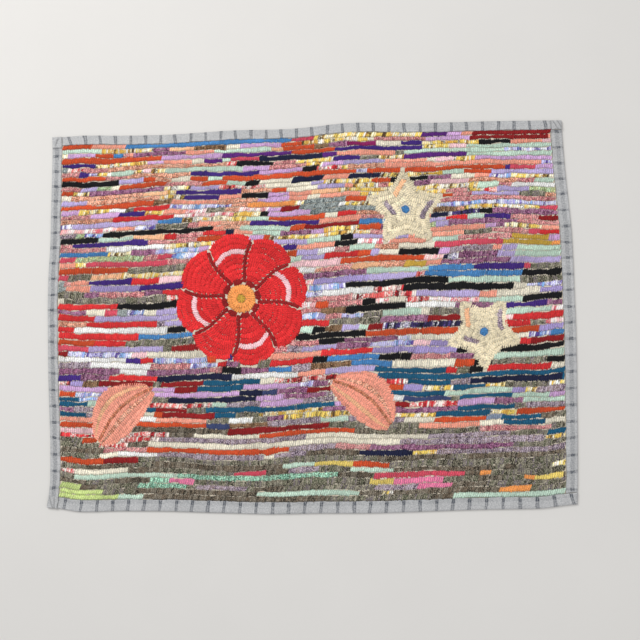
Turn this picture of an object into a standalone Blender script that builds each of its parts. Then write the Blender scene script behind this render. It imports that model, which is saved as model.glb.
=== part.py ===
"""A hooked rug: a field of hooked rows on a foundation cloth, with a strip of cotton bound round each edge.

Units are metres, +Z is up and the top of the design is towards +Y. The rug lies flat on z = 0.
Every piece is first laid out on a straight plan, `along` x `up` in millimetres, and the function
place() then moves each point to the rug's true, uneven outline.
"""

from math import pi

import bmesh
import bpy
import numpy as np

# ---- driving dimensions, in millimetres -------------------------------------------------------
MM = 0.001                   # one millimetre in metres

LENGTH = 808.5               # the straight plan, left to right
WIDTH = 588.0                # the straight plan, bottom to top

# The corners of the outline, from the middle of the rug: x, y.
CORNERS = {
    "bottom_left": (-404.5, -292.7),
    "bottom_right": (400.8, -290.6),
    "top_left": (-409.7, 295.2),
    "top_right": (401.9, 297.3),
}

# How far the long edges bow out from a straight line between their corners.
# share of the length from the left, top edge, bottom edge
LONG_EDGES = [
    (0.000, 0.0, 0.0), (0.030, 0.4, 2.7), (0.060, 1.4, 6.5), (0.090, 0.9, 7.0),
    (0.130, -0.6, 6.2), (0.180, -1.5, 6.3), (0.240, -1.8, 7.0), (0.310, 0.2, 9.0),
    (0.370, 1.6, 10.6), (0.430, 0.8, 11.9), (0.480, 0.9, 11.6), (0.530, 3.5, 11.2),
    (0.570, 6.4, 11.3), (0.610, 7.2, 11.4), (0.670, 5.0, 10.4), (0.730, 3.1, 9.0),
    (0.790, 2.6, 7.6), (0.850, 2.3, 6.6), (0.900, 1.6, 6.3), (0.940, 0.9, 5.4),
    (0.975, 0.3, 1.8), (1.000, 0.0, 0.0),
]

# How far the short edges bow out: share of the width from the bottom, left edge, right edge
SHORT_EDGES = [
    (0.000, 0.0, 0.0), (0.035, -3.1, 1.3), (0.060, -4.5, 2.2), (0.100, -4.8, 3.2),
    (0.170, -4.1, 4.8), (0.250, -1.8, 6.1), (0.350, 0.7, 7.9), (0.450, 2.2, 9.1),
    (0.540, 3.3, 9.1), (0.620, 2.7, 9.2), (0.700, 0.6, 8.6), (0.780, 0.2, 5.9),
    (0.850, -0.3, 3.2), (0.910, -0.6, 1.6), (0.960, -0.8, 0.5), (1.000, 0.0, 0.0),
]

# The binding: how much of each strip shows on the face, and as much is turned under the rug.
STRIP_WIDTH = {"left": 16.5, "top": 15.0, "right": 17.6, "bottom": 17.6}
CLOTH = 1.0                  # thickness of the binding's cloth
GAP = 0.3                    # between one piece and the next
FOLD_STEPS = 4               # straight runs round the strip's folded edge
PUCKER = 0.5                 # how much the strip's face rises and falls along its stitching
PUCKER_PITCH = 61.0          # from one pucker to the next

# The ground: the foundation cloth with the hooked rows in it.
FOUNDATION = 1.5             # thickness of the foundation where the binding holds it
FOUNDATION_INSET = 2.2       # from the binding's folded edge to the foundation's cut edge
ROWS = 68                    # hooked rows from the bottom to the top
ROW_VALLEY = 3.9             # height between two rows
ROW_CREST = 5.9              # height along the middle of a row
PILE_SWELL = 0.35            # how much the pile's height wanders over the rug

# How wide the rows are against their mean: share of the rows from the bottom, relative width.
ROW_WIDTHS = [
    (0.00, 0.96), (0.27, 0.94), (0.36, 1.12), (0.60, 1.16), (0.68, 0.93), (1.00, 0.85),
]

# How the rows wander from straight lines: height of the wave, its length along the rug,
# where it starts, and its half waves from the bottom row to the top one.
ROW_WAVES = [
    (6.5, 1900.0, -0.9, 1),
    (2.4, 420.0, 1.1, 2),
    (1.5, 265.0, 3.9, 3),
    (1.0, 205.0, 2.2, 5),
]

# ---- heights that follow from the sizes above ---------------------------------------------------
TONGUE_LOW = CLOTH + GAP                      # underside of the foundation inside the binding
TONGUE_HIGH = TONGUE_LOW + FOUNDATION         # its upper side
FACE_MIDDLE = TONGUE_HIGH + GAP + CLOTH / 2   # middle of the binding's cloth on the face
FOLD_RADIUS = (FACE_MIDDLE - CLOTH / 2) / 2   # of the middle of the cloth round the fold

LONG_TABLE = np.array(LONG_EDGES)
SHORT_TABLE = np.array(SHORT_EDGES)
LONG_STATIONS = LONG_TABLE[1:-1, 0] * LENGTH      # sections between the two corner blocks
SHORT_STATIONS = SHORT_TABLE[1:-1, 0] * WIDTH


def outline(along, up):
    """Carry points of the straight plan to the uneven outline, in millimetres.

    Each point is blended from the four corners, and pushed out by the nearest edges' bows in
    proportion to how near it lies to them.
    """
    s = np.asarray(along, float) / LENGTH
    t = np.asarray(up, float) / WIDTH
    corner = {name: np.array(xy) for name, xy in CORNERS.items()}
    weight = {
        "bottom_left": (1 - s) * (1 - t),
        "bottom_right": s * (1 - t),
        "top_left": (1 - s) * t,
        "top_right": s * t,
    }
    x = sum(weight[name] * corner[name][0] for name in corner)
    y = sum(weight[name] * corner[name][1] for name in corner)
    x = x - (1 - s) * np.interp(t, SHORT_TABLE[:, 0], SHORT_TABLE[:, 1])
    x = x + s * np.interp(t, SHORT_TABLE[:, 0], SHORT_TABLE[:, 2])
    y = y + t * np.interp(s, LONG_TABLE[:, 0], LONG_TABLE[:, 1])
    y = y - (1 - t) * np.interp(s, LONG_TABLE[:, 0], LONG_TABLE[:, 2])
    return x, y


def outline_middle():
    """Give the middle of the outline's box, which becomes the part's origin."""
    share = np.linspace(0.0, 1.0, 201)
    zero, one = np.zeros_like(share), np.ones_like(share)
    along = np.concatenate([share, share, zero, one]) * LENGTH
    up = np.concatenate([zero, one, share, share]) * WIDTH
    x, y = outline(along, up)
    return (x.min() + x.max()) / 2, (y.min() + y.max()) / 2


MIDDLE = outline_middle()


def place(points):
    """Turn rows of (along, up, height) in the straight plan into places in metres."""
    points = np.asarray(points, float)
    x, y = outline(points[..., 0], points[..., 1])
    return np.stack([x - MIDDLE[0], y - MIDDLE[1], points[..., 2]], axis=-1) * MM


def row_shares():
    """Give the share of the field's height at each valley and crest, from the row widths in the table."""
    halves = (np.arange(2 * ROWS) + 0.5) / (2 * ROWS)
    widths = np.interp(halves, *np.array(ROW_WIDTHS).T)
    edges = np.concatenate([[0.0], np.cumsum(widths)])
    return edges / edges[-1]


def row_wander(along, share_up):
    """Give how far the hooked rows stray up the rug there: sine waves that die out at both edges."""
    stray = np.zeros(np.broadcast(along, share_up).shape)
    for height, length, start, half_waves in ROW_WAVES:
        stray = stray + height * np.sin(2 * pi * along / length + start) * np.sin(pi * half_waves * share_up)
    return stray


def new_object(name, material, build):
    """Make one named object: build() fills a bmesh, whose faces are then turned outwards.

    On a folded sheet the outermost face doesn't tell inside from outside, so the enclosed volume
    decides it.
    """
    shape = bmesh.new()
    build(shape)
    bmesh.ops.recalc_face_normals(shape, faces=shape.faces[:])
    if shape.calc_volume(signed=True) < 0:
        bmesh.ops.reverse_faces(shape, faces=shape.faces[:])
    mesh = bpy.data.meshes.new(name)
    shape.to_mesh(mesh)
    shape.free()
    mesh.materials.append(material)
    made = bpy.data.objects.new(name, mesh)
    bpy.context.scene.collection.objects.link(made)
    return made


def add_points(shape, points):
    """Add a line of points of the straight plan to the shape and give its new vertices."""
    return [shape.verts.new(point) for point in place(points)]


def stitch(shape, first, second, first_share, second_share):
    """Join two lines of vertices with triangles, walking along both by their share of the way."""
    i = j = 0
    while i < len(first) - 1 or j < len(second) - 1:
        step_first = j == len(second) - 1
        if i < len(first) - 1 and j < len(second) - 1:
            step_first = first_share[i + 1] <= second_share[j + 1]
        if step_first:
            shape.faces.new((first[i], first[i + 1], second[j]))
            i += 1
        else:
            shape.faces.new((first[i], second[j + 1], second[j]))
            j += 1


def join_rings(shape, outer, inner):
    """Join two closed rings of the same number of vertices with quads."""
    for i in range(len(outer)):
        nxt = (i + 1) % len(outer)
        shape.faces.new((outer[i], outer[nxt], inner[nxt], inner[i]))


# ---- the hooked ground -------------------------------------------------------------------------
def ring_sides(left, bottom, right, top, height):
    """List the four sides of a ring that lies so far in from each edge, anticlockwise from bottom left."""
    low_along, high_along = left, LENGTH - right
    low_up, high_up = bottom, WIDTH - top
    along = np.concatenate([[low_along], LONG_STATIONS, [high_along]])
    up = np.concatenate([[low_up], SHORT_STATIONS, [high_up]])
    sides = [
        [(a, low_up, height) for a in along],
        [(high_along, u, height) for u in up],
        [(a, high_up, height) for a in along[::-1]],
        [(low_along, u, height) for u in up[::-1]],
    ]
    return sides


def add_ring(shape, insets, height):
    """Add a ring of vertices, without repeating its corners."""
    points = [point for side in ring_sides(*insets, height) for point in side[:-1]]
    return add_points(shape, points)


def hooked_grid():
    """Give the field's grid of points: one line in every valley and along every crest, wandering."""
    low_along, high_along = STRIP_WIDTH["left"] + GAP, LENGTH - STRIP_WIDTH["right"] - GAP
    low_up, high_up = STRIP_WIDTH["bottom"] + GAP, WIDTH - STRIP_WIDTH["top"] - GAP
    along = np.concatenate([[low_along], LONG_STATIONS, [high_along]])
    grid_along, grid_share = np.meshgrid(along, row_shares())
    grid_up = low_up + grid_share * (high_up - low_up) + row_wander(grid_along, grid_share)
    on_crest = np.arange(2 * ROWS + 1) % 2 == 1
    height = np.where(on_crest, ROW_CREST, ROW_VALLEY)[:, None] * np.ones_like(grid_along)
    swell = np.sin(2 * pi * grid_along / 310.0) * np.sin(2 * pi * grid_up / 230.0 + 0.8)
    return np.stack([grid_along, grid_up, height + PILE_SWELL * swell], axis=-1)


def build_ground(shape):
    """Model the foundation with its hooked rows: a ribbed slab with a thin margin all round.

    The ribs end in an upright edge, where the pile stands against the binding. From its foot the
    foundation runs out into the fold of the binding and back under, and the hooked part alone
    reaches down to the floor.
    """
    field = tuple(STRIP_WIDTH[side] + GAP for side in ("left", "bottom", "right", "top"))
    margin = (FOUNDATION_INSET,) * 4

    points = hooked_grid()
    grid = [add_points(shape, row) for row in points]
    for low, high in zip(grid[:-1], grid[1:]):
        for i in range(len(low) - 1):
            shape.faces.new((low[i], low[i + 1], high[i + 1], high[i]))

    foot = add_ring(shape, field, TONGUE_HIGH)
    columns, lines = len(grid[0]), len(SHORT_STATIONS) + 2
    starts = np.cumsum([0, columns - 1, lines - 1, columns - 1])
    closed_foot = foot + [foot[0]]
    field_edges = [
        (grid[0], points[0, :, 0]),
        ([row[-1] for row in grid], points[:, -1, 1]),
        (grid[-1][::-1], -points[-1, ::-1, 0]),
        ([row[0] for row in grid][::-1], -points[::-1, 0, 1]),
    ]
    for start, (edge, edge_share), side, axis in zip(
        starts, field_edges, ring_sides(*field, TONGUE_HIGH), (0, 1, 0, 1)
    ):
        foot_side = closed_foot[start:start + len(side)]
        sign = 1 if side[-1][axis] > side[0][axis] else -1
        foot_share = [sign * point[axis] for point in side]
        stitch(shape, edge, foot_side, edge_share, foot_share)

    margin_top = add_ring(shape, margin, TONGUE_HIGH)
    margin_under = add_ring(shape, margin, TONGUE_LOW)
    step_top = add_ring(shape, field, TONGUE_LOW)
    step_foot = add_ring(shape, field, 0.0)
    rings = [foot, margin_top, margin_under, step_top, step_foot]
    for outer, inner in zip(rings[:-1], rings[1:]):
        join_rings(shape, outer, inner)
    shape.faces.new(step_foot)


# ---- the binding -------------------------------------------------------------------------------
def fold_middle(width):
    """Give the middle line of a strip's cloth: across the face, round the fold and under, (in, height)."""
    centre = CLOTH / 2 + FOLD_RADIUS
    turn = np.linspace(pi / 2, 3 * pi / 2, FOLD_STEPS + 1)
    bend = np.stack([centre + FOLD_RADIUS * np.cos(turn), centre + FOLD_RADIUS * np.sin(turn)], axis=1)
    return np.vstack([[width, FACE_MIDDLE], bend, [width, CLOTH / 2]])


def thicken(middle, thickness):
    """Give the two sides of a bent sheet, half its thickness from its middle line on mitred corners."""
    steps = np.diff(middle, axis=0)
    steps = steps / np.linalg.norm(steps, axis=1)[:, None]
    normals = np.stack([steps[:, 1], -steps[:, 0]], axis=1)
    before = np.vstack([normals[:1], normals])
    after = np.vstack([normals, normals[-1:]])
    mitre = (before + after) / (1 + np.sum(before * after, axis=1))[:, None]
    return middle - mitre * thickness / 2, middle + mitre * thickness / 2


def pucker(distance, share_in):
    """Give how far the strip's face is lifted there: gentle waves that fade out towards the fold."""
    wave = 0.5 + 0.5 * np.sin(2 * pi * distance / PUCKER_PITCH)
    return PUCKER * wave * np.clip(share_in, 0.0, 1.0)


def strip_section(side, station, path):
    """Lay one path of the strip's section, (in, height), across an edge at a station along it."""
    inward, height = path[:, 0], path[:, 1].copy()
    on_face = height > FACE_MIDDLE - CLOTH
    height = height + np.where(on_face, pucker(station, inward / STRIP_WIDTH[side]), 0.0)
    fixed = np.full_like(inward, station)
    plan = {
        "left": (inward, fixed),
        "right": (LENGTH - inward, fixed),
        "bottom": (fixed, inward),
        "top": (fixed, WIDTH - inward),
    }[side]
    return np.stack([plan[0], plan[1], height], axis=1)


def build_strip(shape, side, first, last, closed_first, closed_last):
    """Model one binding strip: a sheet folded round an edge, from one station to another.

    A closed end is folded in on itself at the rug's corner, so a wall of cloth ends it there. An
    open end stands against another strip.
    """
    stations = LONG_STATIONS if side in ("top", "bottom") else SHORT_STATIONS
    start = first + CLOTH if closed_first else first
    end = last - CLOTH if closed_last else last
    between = [station for station in stations if start + GAP < station < end - GAP]
    outer_path, inner_path = thicken(fold_middle(STRIP_WIDTH[side]), CLOTH)

    outers, inners = [], []
    for station in [start, *between, end]:
        outers.append(add_points(shape, strip_section(side, station, outer_path)))
        inners.append(add_points(shape, strip_section(side, station, inner_path)))
    for k in range(len(outers) - 1):
        ring_here = outers[k] + inners[k][::-1]
        ring_next = outers[k + 1] + inners[k + 1][::-1]
        join_rings(shape, ring_here, ring_next)

    for k, closed, station in ((0, closed_first, first), (-1, closed_last, last)):
        outer, inner = outers[k], inners[k]
        if closed:
            shape.faces.new(inner)
            wall = add_points(shape, strip_section(side, station, outer_path))
            for i in range(len(outer) - 1):
                shape.faces.new((outer[i], outer[i + 1], wall[i + 1], wall[i]))
            shape.faces.new((outer[0], inner[0], inner[-1], outer[-1], wall[-1], wall[0]))
            shape.faces.new(wall)
        else:
            for i in range(len(outer) - 1):
                shape.faces.new((outer[i], outer[i + 1], inner[i + 1], inner[i]))


# ---- the whole rug -----------------------------------------------------------------------------
def make_material(name, colour, roughness):
    """Make a plain cloth material."""
    material = bpy.data.materials.new(name)
    material.use_nodes = True
    surface = material.node_tree.nodes["Principled BSDF"]
    surface.inputs["Base Color"].default_value = (*colour, 1.0)
    surface.inputs["Roughness"].default_value = roughness
    surface.inputs["Metallic"].default_value = 0.0
    return material


def main():
    """Clear the scene and build the ground and the four strips."""
    for old in list(bpy.data.objects):
        bpy.data.objects.remove(old, do_unlink=True)

    wool = make_material("hooked_wool_and_cotton", (0.36, 0.25, 0.27), 0.95)
    cotton = make_material("checked_cotton", (0.55, 0.57, 0.60), 0.9)

    inside_left = STRIP_WIDTH["left"] + GAP
    inside_top = WIDTH - STRIP_WIDTH["top"] - GAP
    inside_bottom = STRIP_WIDTH["bottom"] + GAP
    strips = [
        ("left", 0.0, WIDTH, True, True),
        ("top", inside_left, LENGTH, False, True),
        ("bottom", inside_left, LENGTH, False, True),
        ("right", inside_bottom, inside_top, False, False),
    ]
    new_object("hooked_ground", wool, build_ground)
    for side, first, last, closed_first, closed_last in strips:
        new_object(
            f"binding_{side}", cotton,
            lambda shape: build_strip(shape, side, first, last, closed_first, closed_last),
        )


main()
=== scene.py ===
"""A hooked rag rug that lies flat on a pale floor, seen from above.

The rug is laid out on a straight plan in millimetres: `along` runs from its left edge to its right
one, `up` from its bottom edge to its top one, and `height` from the floor. Plan.place() then moves
every point to the real, uneven outline, in metres. Rows of loops, motifs, binding strips and
stitches are surfaces swept along paths of that plan, and the foundation cloth is a grid over it.
"""

import logging
from dataclasses import dataclass, field
from enum import Enum
from math import pi, radians

import bpy
import numpy as np
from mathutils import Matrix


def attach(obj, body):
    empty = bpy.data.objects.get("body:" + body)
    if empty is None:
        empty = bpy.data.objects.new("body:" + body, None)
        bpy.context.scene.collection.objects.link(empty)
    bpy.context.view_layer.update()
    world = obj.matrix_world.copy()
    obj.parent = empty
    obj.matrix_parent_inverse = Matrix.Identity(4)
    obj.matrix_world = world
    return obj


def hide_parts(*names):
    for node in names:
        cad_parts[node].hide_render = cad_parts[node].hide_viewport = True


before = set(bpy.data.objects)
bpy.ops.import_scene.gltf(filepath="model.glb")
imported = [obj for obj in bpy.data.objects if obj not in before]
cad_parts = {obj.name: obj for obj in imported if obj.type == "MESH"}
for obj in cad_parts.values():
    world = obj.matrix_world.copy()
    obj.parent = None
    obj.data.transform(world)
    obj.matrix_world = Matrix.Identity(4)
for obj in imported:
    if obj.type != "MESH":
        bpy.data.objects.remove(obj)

LOG = logging.getLogger("hooked_rug")
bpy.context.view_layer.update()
MM = 0.001  # one millimetre in metres
SEED = 26  # for every random draw

Array = np.ndarray
Draw = np.random.Generator
Material = bpy.types.Material
Object = bpy.types.Object
Socket = bpy.types.NodeSocket
Tree = bpy.types.NodeTree


# ---- nodes and objects
def linear(code: str) -> Array:
    """Turn a colour from six hex digits of sRGB to linear light, by the standard's two-part curve."""
    srgb = np.array([int(code[i:i + 2], 16) for i in (0, 2, 4)]) / 255.0
    return np.where(srgb <= 0.04045, srgb / 12.92, ((srgb + 0.055) / 1.055) ** 2.4)


def rgba(code: str) -> tuple[float, ...]:
    """Give an sRGB hex colour as linear red, green, blue and an alpha of 1."""
    return (*linear(code), 1.0)


def set_inputs(node: bpy.types.Node, inputs: dict) -> None:
    """Give a node its inputs.

    Args:
        node: the node.
        inputs: an input's name or number to its value, or to the output socket it is linked from.
    """
    for name, value in inputs.items():
        if isinstance(value, Socket):
            node.id_data.links.new(value, node.inputs[name])
        else:
            node.inputs[name].default_value = value


def add_node(tree: Tree, kind: str, inputs: dict | None = None, out: str = "", **settings) -> Socket:
    """Add a shader node with its settings and links.

    Args:
        tree: the material's node tree.
        kind: Blender's name of the node type, without the ShaderNode in front.
        inputs: what set_inputs() takes.
        out: the name of the wanted output, or nothing for the first that the settings leave on.
        settings: the node's own properties.

    Returns:
        That output socket of the new node.
    """
    node = tree.nodes.new(f"ShaderNode{kind}")
    for name, value in settings.items():
        setattr(node, name, value)
    set_inputs(node, inputs or {})
    return node.outputs[out] if out else next(socket for socket in node.outputs if socket.enabled)


def new_material(name: str) -> tuple[Material, Tree, bpy.types.Node]:
    """Make a material with nodes.

    Args:
        name: its name.

    Returns:
        The material, its node tree and its Principled BSDF.
    """
    material = bpy.data.materials.new(name)
    material.use_nodes = True
    return material, material.node_tree, material.node_tree.nodes["Principled BSDF"]


def crossed_threads(tree: Tree, place: Socket, pitch: float, stray: float, fuzz: float) -> list[Socket]:
    """Draw the threads of a plain weave, as one wave across X and one across Y.

    Blender's wave has 20 bands in 2 pi units, which its scale here turns to one for each thread.

    Args:
        tree: the material's nodes.
        place: metres on the cloth.
        pitch: millimetres from one thread to the next.
        stray: how far the threads stray from straight lines.
        fuzz: how fine that is.

    Returns:
        The two waves, from 0 between threads to 1 on them.
    """
    return [add_node(tree, "TexWave", {
        "Vector": place, "Scale": 1 / (20 * pitch * MM) * 2 * pi, "Distortion": stray,
        "Detail": 1.0, "Detail Scale": fuzz,
    }, out="Fac", bands_direction=direction) for direction in ("X", "Y")]


def new_object(
    name: str, data: bpy.types.ID, material: Material | None = None, place: tuple = (0, 0, 0),
    turn: tuple = (0, 0, 0),
) -> Object:
    """Make an object and link it into the scene.

    Args:
        name: its name.
        data: its mesh, light or camera.
        material: a mesh's only material.
        place: where it stands, in metres.
        turn: how it is turned about X, Y and Z, in degrees.

    Returns:
        The object.
    """
    made = bpy.data.objects.new(name, data)
    made.location = place
    made.rotation_euler = [radians(angle) for angle in turn]
    if material:
        data.materials.append(material)
    bpy.context.scene.collection.objects.link(made)
    return made


# ---- the plan
@dataclass(frozen=True)
class Plan:
    """The rug's straight plan and its true outline, in millimetres, as in the solids."""

    length: float = 808.5
    width: float = 588.0
    rows: int = 68
    strip_width: dict = field(default_factory=lambda: {
        "left": 16.5, "top": 15.0, "right": 17.6, "bottom": 17.6,
    })
    gap: float = 0.3

    # bottom left, bottom right, top left, top right: x, y from the middle of the rug
    corners: tuple = ((-404.5, -292.7), (400.8, -290.6), (-409.7, 295.2), (401.9, 297.3))

    # share of the length from the left, how far the top edge bows out, how far the bottom one does
    long_edges: tuple = (
        (0.000, 0.0, 0.0), (0.030, 0.4, 2.7), (0.060, 1.4, 6.5), (0.090, 0.9, 7.0),
        (0.130, -0.6, 6.2), (0.180, -1.5, 6.3), (0.240, -1.8, 7.0), (0.310, 0.2, 9.0),
        (0.370, 1.6, 10.6), (0.430, 0.8, 11.9), (0.480, 0.9, 11.6), (0.530, 3.5, 11.2),
        (0.570, 6.4, 11.3), (0.610, 7.2, 11.4), (0.670, 5.0, 10.4), (0.730, 3.1, 9.0),
        (0.790, 2.6, 7.6), (0.850, 2.3, 6.6), (0.900, 1.6, 6.3), (0.940, 0.9, 5.4),
        (0.975, 0.3, 1.8), (1.000, 0.0, 0.0),
    )

    # share of the width from the bottom, how far the left edge bows out, how far the right one does
    short_edges: tuple = (
        (0.000, 0.0, 0.0), (0.035, -3.1, 1.3), (0.060, -4.5, 2.2), (0.100, -4.8, 3.2),
        (0.170, -4.1, 4.8), (0.250, -1.8, 6.1), (0.350, 0.7, 7.9), (0.450, 2.2, 9.1),
        (0.540, 3.3, 9.1), (0.620, 2.7, 9.2), (0.700, 0.6, 8.6), (0.780, 0.2, 5.9),
        (0.850, -0.3, 3.2), (0.910, -0.6, 1.6), (0.960, -0.8, 0.5), (1.000, 0.0, 0.0),
    )

    # share of the rows from the bottom, how wide they are there against their mean
    row_widths: tuple = (
        (0.00, 0.96), (0.27, 0.94), (0.36, 1.12), (0.60, 1.16), (0.68, 0.93), (1.00, 0.85),
    )

    # height of a wave of the rows, its length along the rug, its start, its half waves up the rug
    row_waves: tuple = (
        (6.5, 1900.0, -0.9, 1), (2.4, 420.0, 1.1, 2), (1.5, 265.0, 3.9, 3), (1.0, 205.0, 2.2, 5),
    )

    @property
    def field_box(self) -> tuple[float, float, float, float]:
        """Give the hooked field's lowest and highest along, and lowest and highest up."""
        side = {name: width + self.gap for name, width in self.strip_width.items()}
        return side["left"], self.length - side["right"], side["bottom"], self.width - side["top"]

    def place(self, points: Array) -> Array:
        """Move points of the straight plan to the real outline.

        Each point is blended from the four corners by its shares along and up, then pushed out by
        the bow of the left and right edge in proportion to how near it is to them, and so for the
        bottom and top edge.

        Args:
            points: (..., 3) along, up and height in millimetres.

        Returns:
            (..., 3) x, y and z in metres.
        """
        s, t = points[..., 0] / self.length, points[..., 1] / self.width
        weights = ((1 - s) * (1 - t), s * (1 - t), (1 - s) * t, s * t)
        x, y = (sum(w * corner[axis] for w, corner in zip(weights, self.corners)) for axis in (0, 1))
        at_t, left, right = np.array(self.short_edges).T
        at_s, top, bottom = np.array(self.long_edges).T
        x = x - (1 - s) * self.smooth(t, at_t, left) + s * self.smooth(t, at_t, right)
        y = y + t * self.smooth(s, at_s, top) - (1 - t) * self.smooth(s, at_s, bottom)
        return np.stack([x, y, points[..., 2]], axis=-1) * MM

    @staticmethod
    def smooth(share: Array, at: Array, value: Array) -> Array:
        """Read a table on a smooth curve: a cubic between its rows, with the slope of their neighbours.

        Args:
            share: where to read it.
            at: the rows' places, rising.
            value: the rows' values.

        Returns:
            The values there.
        """
        slope = np.gradient(value, at)
        k = np.clip(np.searchsorted(at, share, side="right") - 1, 0, len(at) - 2)
        step = at[k + 1] - at[k]
        f = np.clip((share - at[k]) / step, 0.0, 1.0)
        start = (1 + 2 * f) * (1 - f) ** 2 * value[k] + f * (1 - f) ** 2 * step * slope[k]
        end = f * f * (3 - 2 * f) * value[k + 1] - f * f * (1 - f) * step * slope[k + 1]
        return start + end

    def row_edges(self) -> Array:
        """Add up the widths of half rows to the places of the rows' edges and middles.

        Returns:
            (2 * rows + 1,) their shares up the field, an edge and a middle by turns.
        """
        halves = (np.arange(2 * self.rows) + 0.5) / (2 * self.rows)
        edges = np.concatenate([[0.0], np.cumsum(np.interp(halves, *np.array(self.row_widths).T))])
        return edges / edges[-1]

    def row_line(self, along: Array, share: Array) -> Array:
        """Give how far up a line of the hooking lies: its share of the field plus its waves.

        Args:
            along: places along the rug.
            share: the line's share of the way from the bottom row to the top one.

        Returns:
            The places up the rug, a straight line plus sines that die out at the first and last row.
        """
        low, high = self.field_box[2:]
        stray = sum(
            size * np.sin(2 * pi * along / length + start) * np.sin(pi * half_waves * share)
            for size, length, start, half_waves in self.row_waves
        )
        return low + share * (high - low) + stray


PLAN = Plan()


# ---- surfaces
@dataclass
class Sweep:
    """Closed bodies swept along paths: rings of the same number of points, joined ring to ring.

    Attributes:
        girth: (points + 1,) the distance round the ring at each point, for the baked picture.
        across: (points,) how far across the cloth each point lies, for a map along the weave.
        skew: how far the cloth's cross threads lean at each ring, for each millimetre across.
        bodies: the rings, distances and colours of each body.
        end: how far along all the bodies the next one starts.
        margin: the space round a strip of the baked picture, as a share of the girth.
        bulge: how far a body's end bulges out of its strip there, as a share of the girth.
    """

    girth: Array
    across: Array | None = None
    skew: float | Array = 0.0
    bodies: list = field(default_factory=list)
    end: float = 0.0
    margin: float = 0.03
    bulge: float = 0.02

    def add(self, rings: Array, distance: Array, gap: float = 0.0, **colours) -> None:
        """Add a body.

        Args:
            rings: (stations, points, 3) its rings' points, in millimetres of the plan.
            distance: (stations,) how far along it each ring lies.
            gap: how far past its end the next body starts in the baked picture.
            colours: attribute name to (stations, 4) or (stations, points, 4) colours.
        """
        self.bodies.append((rings, self.end + distance, colours))
        self.end += distance[-1] + gap

    def folded_map(
        self, travel: Array, station: Array, point: Array, first: Array,
    ) -> Array:
        """Lay the swept faces out flat, in strips stacked one above the other.

        Args:
            travel: how far along all the bodies each ring lies.
            station: the ring of each face corner.
            point: the point on the ring of each face corner, where the last is the first again.
            first: the ring that decides which strip the corner's face lies in.

        Returns:
            (corners, 2) places in the unit square.
        """
        margin = self.margin * self.girth[-1]
        tall = self.girth[-1] + 2 * margin
        total = travel[-1] + tall
        strips = max(1, int(np.ceil(np.sqrt(total / tall))))
        wide = total / strips
        strip = np.minimum(travel[first] // wide, strips - 1)
        slack = np.diff(travel).max() + 2 * margin
        across = (travel[station] - strip * wide + margin) / (wide + slack)
        up = (strip + (self.girth[point] + margin) / tall) / strips
        return np.stack([across, up], axis=-1)

    def build(self, name: str, material: Material) -> Object:
        """Make the object: a quad between neighbouring points of neighbouring rings, and a cap at each end.

        Args:
            name: the object's name.
            material: its only material.

        Returns:
            The object, at the origin, with its colours and its own map for the baked picture.
        """
        rings, travel, colours = zip(*self.bodies)
        lengths = np.array([len(part) for part in rings])
        rings, travel = np.concatenate(rings), np.concatenate(travel)
        ends = np.cumsum(lengths) - 1
        starts = ends - lengths + 1
        size = rings.shape[1]
        ring = np.arange(size)
        here = np.delete(np.arange(len(rings)), ends)
        station = np.repeat(np.stack([here, here + 1, here + 1, here], axis=1), size, axis=0)
        point = np.tile(ring[:, None] + (0, 0, 1, 1), (len(here), 1))
        quads = station * size + point % size
        caps = np.concatenate([starts[:, None] * size + ring, ends[:, None] * size + ring[::-1]])
        corners = np.concatenate([quads.ravel(), caps.ravel()])
        totals = np.repeat([4, size], [len(quads), len(caps)])

        mesh = bpy.data.meshes.new(name)
        mesh.vertices.add(rings.size // 3)
        mesh.vertices.foreach_set("co", PLAN.place(rings.reshape(-1, 3)).astype(np.float32).ravel())
        mesh.loops.add(len(corners))
        mesh.loops.foreach_set("vertex_index", corners.astype(np.int32))
        mesh.polygons.add(len(totals))
        mesh.polygons.foreach_set("loop_start", (np.cumsum(totals) - totals).astype(np.int32))
        mesh.polygons.foreach_set("loop_total", totals.astype(np.int32))
        mesh.update(calc_edges=True)
        mesh.shade_smooth()

        for attribute in colours[0]:
            values = np.concatenate([part[attribute] for part in colours])
            values = values if values.ndim == 3 else np.repeat(values[:, None], size, axis=1)
            layer = mesh.attributes.new(attribute, "FLOAT_COLOR", "POINT")
            layer.data.foreach_set("color", values.astype(np.float32).ravel())
        maps = [self.folded_map(travel, station.ravel(), point.ravel(), np.repeat(station[:, 0], 4))]
        lens = np.sin(pi * ring / (size - 1)) * self.bulge * self.girth[-1]
        for stations, inner, order, sign in ((starts, starts, ring, -1), (ends, ends - 1, ring[::-1], 1)):
            order = np.tile(order, len(stations))
            cap = self.folded_map(travel, np.repeat(stations, size), order, np.repeat(inner, size))
            cap[:, 0] += sign * lens[order] / travel[-1]
            maps.append(cap)
        baked = mesh.uv_layers.new(name="OFBake")
        baked.data.foreach_set("uv", np.concatenate(maps).astype(np.float32).ravel())
        if self.across is not None:
            across = np.append(self.across, self.across[0])
            across = across[np.concatenate([point.ravel(), (caps % size).ravel()])]
            skew = np.broadcast_to(self.skew, len(travel))[corners // size]
            weave = np.stack([travel[corners // size] - skew * across, across], axis=-1) * MM
            cloth = mesh.uv_layers.new(name="cloth")
            cloth.data.foreach_set("uv", weave.astype(np.float32).ravel())
        return new_object(name, mesh, material)


def side_of(path: Array) -> Array:
    """Give the unit direction to the left of a path at each of its points, from its neighbours.

    Args:
        path: (points, 2) places in the plan.

    Returns:
        (points, 2) the directions.
    """
    step = np.gradient(path, axis=0)
    step = step / np.linalg.norm(step, axis=1, keepdims=True)
    return np.stack([-step[:, 1], step[:, 0]], axis=1)


def length_along(path: Array) -> Array:
    """Give how far along a path each of its points lies."""
    return np.concatenate([[0], np.cumsum(np.linalg.norm(np.diff(path, axis=0), axis=1))])


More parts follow.
